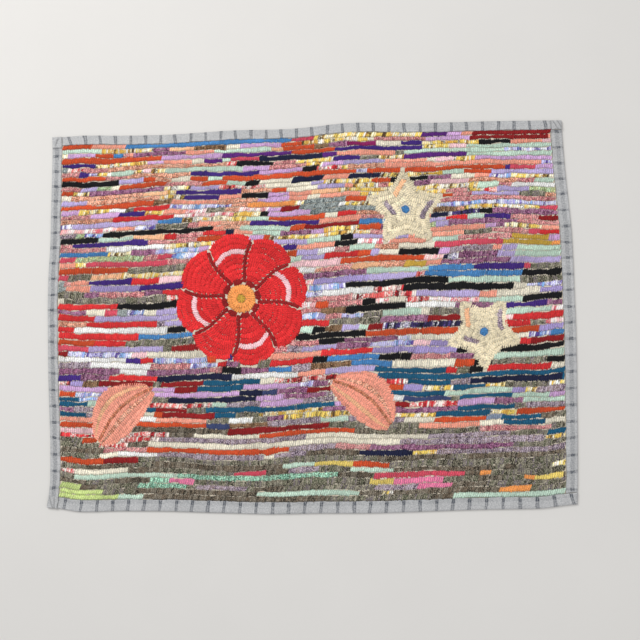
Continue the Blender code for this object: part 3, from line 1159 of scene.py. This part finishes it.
# ---- foundation
@dataclass(frozen=True)
class FoundationCloth:
    """The burlap that the loops are hooked through, with the backs of the rows on its underside."""

    inset: float = 2.2
    top: float = 4.3
    valley: float = 1.1
    back: float = 0.15
    margin: tuple[float, float] = (1.35, 2.75)  # the heights of its two faces inside the binding
    column: float = 6.0
    burlap: str = "e8dcc6"

    def build(self, ground: StripedGround, material: Material) -> Object:
        """Model the cloth as two height fields over one grid, joined at their rim.

        The upper one is flat. The lower one runs in a valley between rows and on a crest under each
        row, whose points take the colour of the loops above them.

        Args:
            ground: the rows, for the colours of their backs.
            material: the burlap.

        Returns:
            The object.
        """
        low, high = PLAN.field_box[:2]
        columns = np.linspace(low + 0.5, high - 0.5, round((high - low) / self.column))
        along = np.array([self.inset, low, *columns, high, PLAN.length - self.inset])
        lines = np.array([np.interp(along, ground.along, edge) for edge in ground.edges])
        up = np.empty((2 * PLAN.rows + 3, len(along)))
        up[0], up[-1] = self.inset, PLAN.width - self.inset
        up[1:-1:2] = lines
        up[2:-2:2] = (lines[1:] + lines[:-1]) / 2
        heights = np.empty((2, *up.shape))
        heights[0], heights[1] = self.valley, self.top
        heights[0, 2:-2:2] = self.back
        for face, rim in zip(heights, self.margin):
            face[[0, 1, -2, -1]] = rim
            face[:, [0, 1, -2, -1]] = rim

        index = np.arange(up.size).reshape(up.shape)
        lower = np.stack([index[:-1, :-1], index[1:, :-1], index[1:, 1:], index[:-1, 1:]], axis=-1)
        lower = lower.reshape(-1, 4)
        rim = np.concatenate([index[0, :-1], index[:-1, -1], index[-1, :0:-1], index[:0:-1, 0]])
        after = np.roll(rim, -1)
        sides = np.stack([rim, after, after + up.size, rim + up.size], axis=-1)
        quads = np.concatenate([lower, lower[:, ::-1] + up.size, sides])
        points = np.stack(np.broadcast_arrays(along, up, heights), axis=-1).reshape(-1, 3)
        mesh = bpy.data.meshes.new("burlap_foundation")
        mesh.from_pydata(PLAN.place(points).tolist(), [], quads.tolist())

        colours = np.tile(rgba(self.burlap), (*heights.shape, 1))
        for line, row in zip(range(2, len(up), 2), ground.stripes):
            backs = [((along >= first) & (along < last), rag) for first, last, rag in row]
            backs += [(motif.covers(along, up[line]), motif.rag) for motif in MOTIFS]
            for here, rag in backs:
                colours[0, line, here, :3] = linear(RAGS[rag].shades[0])
        layer = mesh.attributes.new("rag", "FLOAT_COLOR", "POINT")
        layer.data.foreach_set("color", colours.astype(np.float32).ravel())
        return new_object("burlap_foundation", mesh, material)


# ---- binding
@dataclass(frozen=True)
class BindingStrip:
    """A strip of checked cotton folded round one edge, with its raw edge turned in."""

    side: str
    first: float
    last: float
    draw_seed: int
    plain_start: float = 0.0  # how much of its start and its end is a plain patch
    plain_end: float = 0.0
    creases: tuple = ()  # along (from the end if below zero) and inward, twice, then height and width
    skew: tuple[float, float] = (0.0, 0.0)  # how far the cross threads lean at its start and its end
    skew_reach: float = 110.0
    thickness: float = 0.9
    face: float = 4.0
    lip: float = 0.45
    pucker: float = 0.13
    patch_rise: float = 0.45
    pinch: float = 0.5  # how much lower its ends are, and over what length
    pinch_reach: float = 2.0
    station: float = 2.7
    fine_station: float = 0.9

    @property
    def width(self) -> float:
        """Give how much of the strip shows on the face."""
        return PLAN.strip_width[self.side]

    def profile(self) -> Array:
        """Trace the section's closed outline, over the face, round the fold and under.

        The outer side is a lip at the turned-in edge, a level face, half a circle and the hem. The
        inner side runs back at the cloth's thickness.

        Returns:
            (points, 2) inward from the rug's edge, and height.
        """
        w, top, t = self.width, self.face, self.thickness
        radius = top / 2
        turn = np.linspace(pi / 2, 3 * pi / 2, 9)
        outer, inner = (
            radius + size * np.stack([np.cos(turn), np.sin(turn)], axis=1) for size in (radius, radius - t)
        )
        lip = [(w - 0.1, top - 0.75), (w - 0.05, top), (w - 0.7, top + self.lip), (w - 2.4, top + self.lip)]
        level = np.stack([np.linspace(w - 4.2, radius + 1.2, 9), np.full(9, top)], axis=1)
        hem = [(w * 0.5, 0.02), (w - 0.2, 0.02), (w, t * 0.5), (w - 0.2, t)]
        back = [(w * 0.5, top - t), (w - 3.0, top - t)]
        return np.vstack([lip, level, outer, hem, inner[::-2], back])

    def developed(self, section: Array) -> Array:
        """Measure across the cloth, laid open, to each point of its section.

        Args:
            section: (points, 2) inward and height.

        Returns:
            (points,) how far each one lies from the turned-in edge.
        """
        past = self.width - section[:, 0]
        return np.where(section[:, 1] > self.face / 2, past, 2 * self.width - past + self.face / 2)

    def build(self, material: Material) -> Object:
        """Sweep the section along the edge, puckered and creased as hand sewing leaves it.

        Args:
            material: the strip's cotton.

        Returns:
            The object.
        """
        draw = np.random.default_rng(SEED + self.draw_seed)
        count = round((self.last - self.first) / self.station)
        seams = self.first + self.plain_start, self.last - self.plain_end
        station = np.unique(np.round(np.concatenate([
            np.linspace(self.first, self.last, count + 1),
            np.arange(self.first, seams[0] + 0.1, self.fine_station),
            np.arange(self.last, seams[1] - 0.1, -self.fine_station),
        ]), 1).clip(self.first, self.last))
        # Painted shadow: a dark band just inside the seam of each plain patch, where its edge steps up.
        patch, shadow = np.zeros((2, len(station), 1))
        for seam, plain, inside in ((seams[0], self.plain_start, 1), (seams[1], self.plain_end, -1)):
            if plain:
                past = station[:, None] - seam
                patch = np.maximum(patch, np.clip(-past * inside / 0.9 + 0.5, 0, 1))
                shadow = np.maximum(shadow, np.exp(-((past - 0.5 * inside) / 0.8) ** 2))

        section = self.profile()
        inward, height = (np.tile(part, (len(station), 1)) for part in section.T)
        share = np.clip(inward / self.width, 0, 1)
        on_face = np.clip((height - 2.2) / 1.5, 0, 1)
        waves = sum(
            draw.uniform(0.5, 1.0) * np.sin(2 * pi * station / length + draw.uniform(0, 6))
            for length in (97.0, 53.0, 31.0, 17.0)
        )[:, None]
        edge = sum(
            size * np.sin(2 * pi * station / length + draw.uniform(0, 6))
            for size, length in ((0.45, 71.0), (0.3, 29.0), (0.2, 12.6))
        )[:, None]
        height = height + on_face * (self.pucker * waves * np.sin(pi * share) + 0.05)
        inward = inward + edge * share ** 2 * on_face
        height = height + self.patch_rise * patch * on_face
        shadow = shadow * on_face
        for start_along, start_in, end_along, end_in, size, spread in self.creases:
            origin = self.first if start_along > 0 else self.last
            run = np.array([end_along - start_along, end_in - start_in])
            off = station[:, None] - origin - start_along, inward - start_in
            part = np.clip((off[0] * run[0] + off[1] * run[1]) / (run @ run), 0, 1)
            gap = np.hypot(off[0] - part * run[0], off[1] - part * run[1])
            beside = (off[0] * run[1] - off[1] * run[0]) / np.hypot(*run)
            height = height + size * np.exp(-(gap / spread) ** 2) * on_face
            # Painted shadow in the hollow beside each crease.
            hollow = np.exp(-((beside - spread) / (0.6 * spread)) ** 2 - (gap / (2 * spread)) ** 2)
            shadow = np.maximum(shadow, 1.2 * hollow * on_face)
        closed = np.minimum(station - self.first, self.last - station)[:, None]
        height = height - self.pinch * np.clip(1 - closed / self.pinch_reach, 0, 1) ** 2 * on_face

        # Red channel: not a plain patch; green: the painted shadow.
        sewn = np.ones((*height.shape, 4))
        sewn[..., 0], sewn[..., 1] = 1 - patch, shadow
        ends = np.array([station - self.first, self.last - station]) / self.skew_reach
        skew = self.skew @ (1 - np.clip(ends, 0, 1)) ** 2 + 0.05 * waves[:, 0]
        fixed = np.tile(station[:, None], (1, len(section)))
        along, up = {
            "left": (inward, fixed), "right": (PLAN.length - inward, fixed),
            "bottom": (fixed, inward), "top": (fixed, PLAN.width - inward),
        }[self.side]
        rings = np.stack([along, up, height], axis=-1)
        if self.side in ("right", "bottom"):
            rings, sewn, section = rings[:, ::-1], sewn[:, ::-1], section[::-1]
        made = Sweep(length_along(np.vstack([section, section[:1]])), self.developed(section), skew)
        made.add(rings, station - self.first, sewn=sewn)
        return made.build(f"cotton_strip_{self.side}", material)


@dataclass(frozen=True)
class EndTucks:
    """The cloth folded in at the open corners of the binding, which closes its ends."""

    half_height: float = 1.55
    half_width: float = 0.85
    middle: float = 2.0
    inset: float = 1.1  # from the rug's edge to the middle of a tuck
    short: float = 1.2  # from the rug's corner to where it starts
    clear: float = 0.6  # from where it stops to the strip's inner edge
    girth: float = 8.0

    def build(self, material: Material) -> Object:
        """Sweep a flat oval across each strip's end, from its fold to its turned-in edge.

        Args:
            material: the cloth.

        Returns:
            The object.
        """
        far, top, wide = PLAN.length - self.inset, PLAN.width - self.inset, PLAN.strip_width
        made = Sweep(np.linspace(0, self.girth, 9), np.linspace(0, self.girth, 8))
        for first, last in (
            ((self.short, top), (wide["left"] - self.clear, top)),
            ((self.short, self.inset), (wide["left"] - self.clear, self.inset)),
            ((far, PLAN.width - self.short), (far, PLAN.width - wide["top"] + self.clear)),
            ((far, self.short), (far, wide["bottom"] - self.clear)),
        ):
            centre = np.linspace(first, last, 12)
            rings = oval_rings(centre, np.full(12, self.middle), self.half_width, self.half_height, 8)
            made.add(rings, np.linalg.norm(centre - centre[0], axis=1), 2.0, sewn=np.zeros((12, 4)))
        return made.build("binding_end_tucks", material)


@dataclass(frozen=True)
class Overcasting:
    """The small slanting stitches that hold the binding's inner edge down to the foundation."""

    pitch: float = 6.5
    slant: float = 1.4
    reach: float = 1.5
    thread: float = 0.26
    clear: float = 4.0  # from the field's corners to the stitches
    rise: tuple[float, ...] = (3.9, 4.75, 4.8, 4.4, 3.6, 2.7)  # the heights along one stitch

    def build(self, material: Material) -> Object:
        """Sweep a thin round thread over the strip's lip for every stitch.

        Args:
            material: the thread.

        Returns:
            The object.
        """
        draw = np.random.default_rng(SEED + 9)
        left, right, bottom, top = PLAN.field_box
        gap, clear = PLAN.gap, self.clear
        share = np.linspace(0, 1, len(self.rise))
        made = Sweep(np.linspace(0, 2 * pi * self.thread, 6))
        for first, last, inward in np.array([
            ((left - gap, bottom + clear), (left - gap, top - clear), (1, 0)),
            ((right + gap, bottom + clear), (right + gap, top - clear), (-1, 0)),
            ((left + clear, top + gap), (right - clear, top + gap), (0, -1)),
            ((left + clear, bottom - gap), (right - clear, bottom - gap), (0, 1)),
        ]):
            length = np.linalg.norm(last - first)
            direction = (last - first) / length
            for place in np.arange(2.0, length - 2.0, self.pitch):
                spot = first + direction * (place + draw.normal(0, 0.5))
                lean = self.slant * draw.uniform(0.6, 1.3)
                reach = self.reach * draw.uniform(0.8, 1.2)
                line = spot + np.outer((share - 0.6) * 2 * reach, inward) + np.outer(share * lean, direction)
                made.add(oval_rings(line, np.array(self.rise), self.thread, self.thread, 5), share * 4.0, 0.5)
        return made.build("overcast_stitches", material)


# ---- finishes
@dataclass(frozen=True)
class RagPile:
    """Cotton and wool rags, cut in strips and hooked: matt, a little fuzzy, with painted shade down between
    loops.
    """

    thread: float = 0.55  # millimetres between the rag's own threads, drawn a little coarse to show
    grain: tuple[float, float] = (1.3, 2.1)  # millimetres across and along a fleck of tweed
    patch: float = 2.3  # across a spot of a print
    slant: float = -18.0  # degrees that the grain is turned, as the loops are
    saturation: float = 0.96  # how far the dyes have kept their strength
    painted_shade_heights: tuple[float, float] = (4.4, 5.6)  # heights in millimetres from painted shade low between loops to a painted highlight on their crests

    def make(self) -> Material:
        """Build the material: the loop's colour, its flecks, its weave, and grime by height.

        Returns:
            The material.
        """
        material, tree, surface = new_material("hooked_cotton_and_wool_rag")
        rag, fleck = (add_node(tree, "Attribute", attribute_name=name) for name in ("rag", "fleck"))
        fine, amount = (socket.node.outputs["Alpha"] for socket in (rag, fleck))
        place = add_node(tree, "TexCoord", out="Object")
        turned = add_node(tree, "Mapping", {
            "Vector": place, "Rotation": (0, 0, radians(self.slant)),
            "Scale": (self.grain[0] * MM, self.grain[1] * MM, 3 * MM),
        }, vector_type="TEXTURE")
        grain = add_node(tree, "TexNoise", {
            "Vector": turned, "Scale": 1.0, "Detail": 1.5, "Roughness": 0.5,
        }, out="Color")
        grain = add_node(tree, "SeparateColor", {"Color": grain})
        patch = add_node(tree, "TexNoise", {
            "Vector": place, "Scale": 1 / (self.patch * MM), "Detail": 3.0, "Roughness": 0.65,
        })
        spots = add_node(tree, "Mix", {"Factor": fine, "A": patch, "B": grain})
        spots = add_node(tree, "MapRange", {
            "Value": spots, "From Min": 0.47, "From Max": 0.53,
        }, interpolation_type="SMOOTHSTEP")
        share = add_node(tree, "Math", {0: spots, 1: amount}, operation="MULTIPLY")
        mixed = add_node(tree, "Mix", {"Factor": share, "A": rag, "B": fleck}, data_type="RGBA")
        peppered = add_node(tree, "Math", {0: fine, 1: amount}, operation="MULTIPLY")
        pepper = add_node(tree, "MapRange", {
            "Value": grain.node.outputs["Green"], "From Min": 0.36, "From Max": 0.64,
            "To Min": -0.5, "To Max": 0.5,
        })
        pepper = add_node(tree, "Math", {0: pepper, 1: peppered, 2: 1.0}, operation="MULTIPLY_ADD")
        # Painted shade and highlight: the colour is darkened low between loops and at row edges, and
        # brightened on the crests.
        shade = add_node(tree, "MapRange", {
            "Value": add_node(tree, "SeparateXYZ", {"Vector": place}, out="Z"),
            "From Min": self.painted_shade_heights[0] * MM, "From Max": self.painted_shade_heights[1] * MM, "To Min": 0.55, "To Max": 1.15,
        }, interpolation_type="SMOOTHSTEP")
        shade = add_node(tree, "Math", {0: shade, 1: pepper}, operation="MULTIPLY")
        weave = add_node(tree, "TexNoise", {
            "Vector": place, "Scale": 1 / (self.thread * MM), "Detail": 1.0, "Roughness": 0.5,
        })
        tone = add_node(tree, "MapRange", {
            "Value": weave, "From Min": 0.3, "From Max": 0.7, "To Min": 0.86, "To Max": 1.1,
        })
        tone = add_node(tree, "Math", {0: tone, 1: shade}, operation="MULTIPLY")
        faded = add_node(tree, "HueSaturation", {"Color": mixed, "Saturation": self.saturation})
        set_inputs(surface, {
            "Base Color": add_node(tree, "VectorMath", {0: faded, "Scale": tone}, operation="SCALE"),
            "Normal": add_node(tree, "Bump", {"Height": weave, "Strength": 0.6, "Distance": 0.4 * MM}),
            "Roughness": 0.93, "Specular IOR Level": 0.15, "Sheen Weight": 0.06, "Sheen Roughness": 0.5,
        })
        return material


@dataclass(frozen=True)
class WovenBurlap:
    """Plain-woven jute: coarse, straw coloured, with the backs of the rags showing beneath."""

    thread: float = 1.6  # millimetres between threads
    fibre: float = 0.9  # across a spot of paler or darker fibres

    def make(self) -> Material:
        """Build the material: crossed threads over the colour that the mesh carries.

        Returns:
            The material.
        """
        material, tree, surface = new_material("woven_jute_burlap")
        place = add_node(tree, "TexCoord", out="Object")
        across, along = crossed_threads(tree, place, self.thread, 1.5, 4.0)
        weave = add_node(tree, "Math", {0: across, 1: along}, operation="MAXIMUM")
        fibre = add_node(tree, "TexNoise", {"Vector": place, "Scale": 1 / (self.fibre * MM), "Detail": 2.0})
        tone = add_node(tree, "Math", {
            0: add_node(tree, "MapRange", {"Value": weave, "To Min": 0.62, "To Max": 1.02}),
            1: add_node(tree, "MapRange", {"Value": fibre, "To Min": 0.75, "To Max": 1.25}),
        }, operation="MULTIPLY")
        rag = add_node(tree, "Attribute", attribute_name="rag")
        set_inputs(surface, {
            "Base Color": add_node(tree, "VectorMath", {0: rag, "Scale": tone}, operation="SCALE"),
            "Normal": add_node(tree, "Bump", {"Height": weave, "Strength": 0.6, "Distance": 0.5 * MM}),
            "Roughness": 0.95, "Specular IOR Level": 0.2,
        })
        return material


@dataclass(frozen=True)
class CheckedCotton:
    """Plain-woven cotton with a windowpane check: pale blue grey, dark threads in lines both ways."""

    name: str
    middle_along: float  # millimetres from the strip's start to a cross line
    middle_across: float  # from the turned-in edge to a lengthwise line
    pitch: float
    cross: float  # how dark the cross lines are, and so on
    length: float
    knot: float
    line: float = 4.0
    length_line: float = 5.0
    parted: float = 0.4  # how much paler a cross line is down its middle
    thread: float = 0.8  # millimetres between threads, drawn coarse so that they show
    slub: float = 1.9  # across a thick spot of the yarn
    wear: float = 26.0  # across a worn or soiled patch
    pull: float = 14.0  # across a place where the lines are pulled aside
    pulled: float = 3.0  # how far they are, from side to side
    ground: str = "d3d2d0"
    shade: str = "8c8e91"
    dark: str = "2f3744"

    def stripe(self, tree: Tree, coordinate: Socket, middle: float, width: float, parted: float) -> Socket:
        """Draw soft-edged lines across a coordinate.

        The distance to the nearest line is a triangle wave of the coordinate, and the line is the
        part of it below half the line's width. A parted line is paler down its middle, because its
        dark threads lie in two groups.

        Args:
            tree: the material's nodes.
            coordinate: metres across the lines.
            middle: millimetres to the middle of one of them.
            width: how wide the lines are, in millimetres.
            parted: how much paler the lines' middle is.

        Returns:
            1 on a line and 0 between lines.
        """
        shifted = add_node(tree, "Math", {0: coordinate, 1: middle * MM}, operation="SUBTRACT")
        away = add_node(tree, "Math", {0: shifted, 1: self.pitch / 2 * MM}, operation="PINGPONG")
        line, gap = (add_node(tree, "MapRange", {
            "Value": away, "From Min": (half + soft) * MM, "From Max": (half - soft) * MM,
        }, interpolation_type="SMOOTHSTEP") for half, soft in ((width / 2, 0.8), (0.7, 0.5)))
        return add_node(tree, "Math", {0: gap, 1: -parted, 2: line}, operation="MULTIPLY_ADD")

    def make(self) -> Material:
        """Build the material from the strip's own cloth map.

        Returns:
            The material.
        """
        material, tree, surface = new_material(self.name)
        cloth = add_node(tree, "UVMap", uv_map="cloth")
        place = add_node(tree, "TexCoord", out="Object")
        sewn = add_node(tree, "Attribute", attribute_name="sewn")
        plain = add_node(tree, "SeparateColor", {"Color": sewn})
        # The painted shadow at seams and beside creases.
        folded = plain.node.outputs["Green"]
        pulled = add_node(tree, "TexNoise", {
            "Vector": place, "Scale": 1 / (self.pull * MM), "Detail": 1.0,
        }, out="Color")
        pulled = add_node(tree, "VectorMath", {
            0: pulled, 1: (self.pulled * MM,) * 3, 2: cloth,
        }, operation="MULTIPLY_ADD")
        pulled = add_node(tree, "VectorMath", {
            0: pulled, 1: (self.pulled / 2 * MM,) * 3,
        }, operation="SUBTRACT")
        along = add_node(tree, "SeparateXYZ", {"Vector": pulled})
        across = along.node.outputs["Y"]
        cross = self.stripe(tree, along, self.middle_along, self.line, self.parted)
        length = self.stripe(tree, across, self.middle_across, self.length_line, 0.0)
        knot = add_node(tree, "Math", {0: cross, 1: length}, operation="MULTIPLY")
        dark: float | Socket = 0.0
        for mask, strength in ((cross, self.cross), (length, self.length), (knot, self.knot)):
            dark = add_node(tree, "Math", {0: mask, 1: strength, 2: dark}, operation="MULTIPLY_ADD")
        slubs = add_node(tree, "TexNoise", {
            "Vector": place, "Scale": 1 / (self.slub * MM), "Detail": 3.0, "Roughness": 0.7,
        })
        uneven = add_node(tree, "MapRange", {
            "Value": slubs, "From Min": 0.65, "From Max": 0.35, "To Min": 0.65, "To Max": 1.25,
        })
        weft, warp = crossed_threads(tree, cloth, self.thread, 0.6, 3.0)
        weave = add_node(tree, "Math", {0: weft, 1: warp}, operation="ADD")
        crossing = add_node(tree, "MapRange", {
            "Value": weave, "From Max": 2.0, "To Min": 0.55, "To Max": 1.45,
        })
        for factor, clamp in ((uneven, False), (crossing, False), (plain, True)):
            dark = add_node(tree, "Math", {0: dark, 1: factor}, operation="MULTIPLY", use_clamp=clamp)
        pale = add_node(tree, "Math", {0: weave, 1: 0.5, 2: -0.25}, operation="MULTIPLY_ADD")
        pale = add_node(tree, "Math", {0: slubs, 1: 2.4, 2: pale}, operation="MULTIPLY_ADD")
        pale = add_node(tree, "MapRange", {"Value": pale, "From Min": 0.7, "From Max": 2.0})
        ground = add_node(tree, "Mix", {
            "Factor": pale, "A": rgba(self.shade), "B": rgba(self.ground),
        }, data_type="RGBA")
        # Real wear from a coarse noise, times the painted shadow at seams and beside creases.
        worn = add_node(tree, "TexNoise", {"Vector": place, "Scale": 1 / (self.wear * MM), "Detail": 3.0})
        wear_and_shadow = add_node(tree, "Math", {
            0: add_node(tree, "MapRange", {
                "Value": worn, "From Min": 0.35, "From Max": 0.7, "To Min": 1.03, "To Max": 0.9,
            }),
            1: add_node(tree, "MapRange", {"Value": folded, "To Min": 1.0, "To Max": 0.42}),
        }, operation="MULTIPLY")
        worn_and_shaded = add_node(tree, "VectorMath", {0: ground, "Scale": wear_and_shadow}, operation="SCALE")
        set_inputs(surface, {
            "Base Color": add_node(tree, "Mix", {
                "Factor": dark, "A": worn_and_shaded, "B": rgba(self.dark),
            }, data_type="RGBA"),
            "Normal": add_node(tree, "Bump", {"Height": weave, "Strength": 0.35, "Distance": 0.25 * MM}),
            "Roughness": 0.9, "Specular IOR Level": 0.25, "Sheen Weight": 0.1,
        })
        return material


@dataclass(frozen=True)
class MottledFinish:
    """A plain colour that is a little lighter and darker from place to place."""

    name: str
    colour: str
    roughness: float
    noise: dict  # the inputs of the noise texture
    tones: tuple[float, float]  # what the noise multiplies the colour by, at its least and at its most

    def make(self) -> Material:
        """Build the material: its colour times a noise in place.

        Returns:
            The material.
        """
        material, tree, surface = new_material(self.name)
        place = add_node(tree, "TexCoord", out="Object")
        tone = add_node(tree, "MapRange", {
            "Value": add_node(tree, "TexNoise", {"Vector": place, **self.noise}),
            "To Min": self.tones[0], "To Max": self.tones[1],
        })
        set_inputs(surface, {
            "Base Color": add_node(tree, "VectorMath", {
                0: linear(self.colour), "Scale": tone,
            }, operation="SCALE"),
            "Roughness": self.roughness,
        })
        return material


# Pale grey thread: twisted cotton, matt, with the twist as a fine unevenness.
SEWING_THREAD = MottledFinish(
    "twisted_cotton_thread", "b9bcc0", 0.85, {"Scale": 1 / (0.5 * MM)}, (0.8, 1.1),
)
# The floor: smooth paint, rolled on, barely uneven.
FLOOR_PAINT = MottledFinish(
    "painted_studio_floor", "dad7d2", 0.8, {"Scale": 9.0, "Detail": 3.0}, (0.98, 1.02),
)

# The four strips from the left one round, each with its cotton, whose check lies differently there.
BINDING = (
    (
        BindingStrip(
            "left", 0.0, PLAN.width, 1, plain_start=17.0, plain_end=18.0,
            creases=(
                (1.5, 13.5, 15.0, 11.5, 0.8, 1.3), (2.0, 10.5, 15.5, 4.0, 0.7, 1.3),
                (5.0, 1.5, 13.0, 1.0, 0.5, 1.4), (-12.5, 8.5, -6.0, 11.0, 0.35, 1.9),
            ),
        ),
        CheckedCotton(
            "checked_cotton_left", 6.3, 8.5, 25.0, 0.30, 0.30, 0.25, length_line=6.5, parted=0.2,
        ),
    ),
    (
        BindingStrip(
            "top", PLAN.field_box[0], PLAN.length, 2, plain_end=16.0, skew=(-0.45, 0.0),
            creases=((-14.0, 3.0, -8.5, 13.0, 0.5, 1.3), (-8.0, 2.0, -2.5, 11.0, 0.5, 1.3)),
        ),
        CheckedCotton("checked_cotton_top", 15.0, 15.5, 24.26, 0.66, 0.1, 0.3, line=4.6, length_line=3.5),
    ),
    (
        BindingStrip("right", *PLAN.field_box[2:], 3),
        CheckedCotton(
            "checked_cotton_right", 5.6, 9.4, 24.8, 0.36, 0.24, 0.18, length_line=6.5, parted=0.2,
        ),
    ),
    (
        BindingStrip("bottom", PLAN.field_box[0], PLAN.length, 4, skew=(0.0, 0.5)),
        CheckedCotton("checked_cotton_bottom", 12.0, 4.0, 24.8, 0.58, 0.1, 0.25, line=4.8),
    ),
)


# ---- studio
@dataclass(frozen=True)
class Studio:
    """A plain pale floor, soft light from above, and the camera at the photograph's viewing angle."""

    camera_place: tuple = (0.0876, -0.1222, 1.157)
    camera_turn: tuple = (5.54, 3.34, -0.66)  # degrees about X, Y and Z
    lens: float = 42.2
    floor_size: float = 6.0
    sky: str = "f4f6fa"

    # name, place, turn in degrees, size in metres and power in watts
    lights: tuple = (
        ("key", (-1.1, 1.3, 2.0), (-33.0, -26.0, 0.0), 1.2, 40.0),
        ("fill", (1.5, -1.0, 2.2), (24.0, 32.0, 0.0), 2.0, 16.0),
    )

    def build(self) -> None:
        """Lay the floor, set the lights and place the camera."""
        mesh = bpy.data.meshes.new("floor")
        half = self.floor_size / 2
        corners = [(-half, -half, 0), (half, -half, 0), (half, half, 0), (-half, half, 0)]
        mesh.from_pydata(corners, [], [(0, 1, 2, 3)])
        new_object("floor", mesh, FLOOR_PAINT.make())

        scene = bpy.context.scene
        scene.world = bpy.data.worlds.new("studio")
        scene.world.use_nodes = True
        background = scene.world.node_tree.nodes["Background"]
        set_inputs(background, {"Color": rgba(self.sky), "Strength": 0.55})
        for name, place, turn, size, power in self.lights:
            light = bpy.data.lights.new(name, "AREA")
            light.size = size
            light.energy = power
            new_object(name, light, place=place, turn=turn)

        camera = bpy.data.cameras.new("camera")
        camera.lens = self.lens
        camera.sensor_width = 36.0
        scene.camera = new_object("camera", camera, place=self.camera_place, turn=self.camera_turn)
        scene.view_settings.view_transform = "Standard"


def report(made: Object) -> None:
    """Log a piece's name and how many triangles it has."""
    triangles = sum(len(face.vertices) - 2 for face in made.data.polygons)
    LOG.info("%s: %d triangles", made.name, triangles)


def main() -> None:
    """Build the rug and its studio, and attach each piece to one body."""
    logging.basicConfig(level=logging.INFO, format="%(message)s")
    draw = np.random.default_rng(SEED)
    Studio().build()

    pile = RagPile().make()
    ground = StripedGround()
    rows = ground.build(pile, draw)
    motifs = [
        PILE.sweep(motif.lines(draw), draw).build(f"{type(motif).__name__.lower()}_{number}", pile)
        for number, motif in enumerate(MOTIFS, 1)
    ]
    foundation = FoundationCloth().build(ground, WovenBurlap().make())

    strips = []
    for strip, cotton in BINDING:
        made = strip.build(cotton.make())
        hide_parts(f"binding_{strip.side}")
        strips.append(made)
    tucks = EndTucks().build(bpy.data.materials["checked_cotton_left"])
    stitches = Overcasting().build(SEWING_THREAD.make())

    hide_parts("hooked_ground")
    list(rows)
    for made in (*rows, *motifs, foundation):
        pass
    for made in (*rows, *motifs, foundation, *strips, tucks, stitches):
        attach(made, "root")
        report(made)

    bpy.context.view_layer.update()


if __name__ == "__main__":
    main()
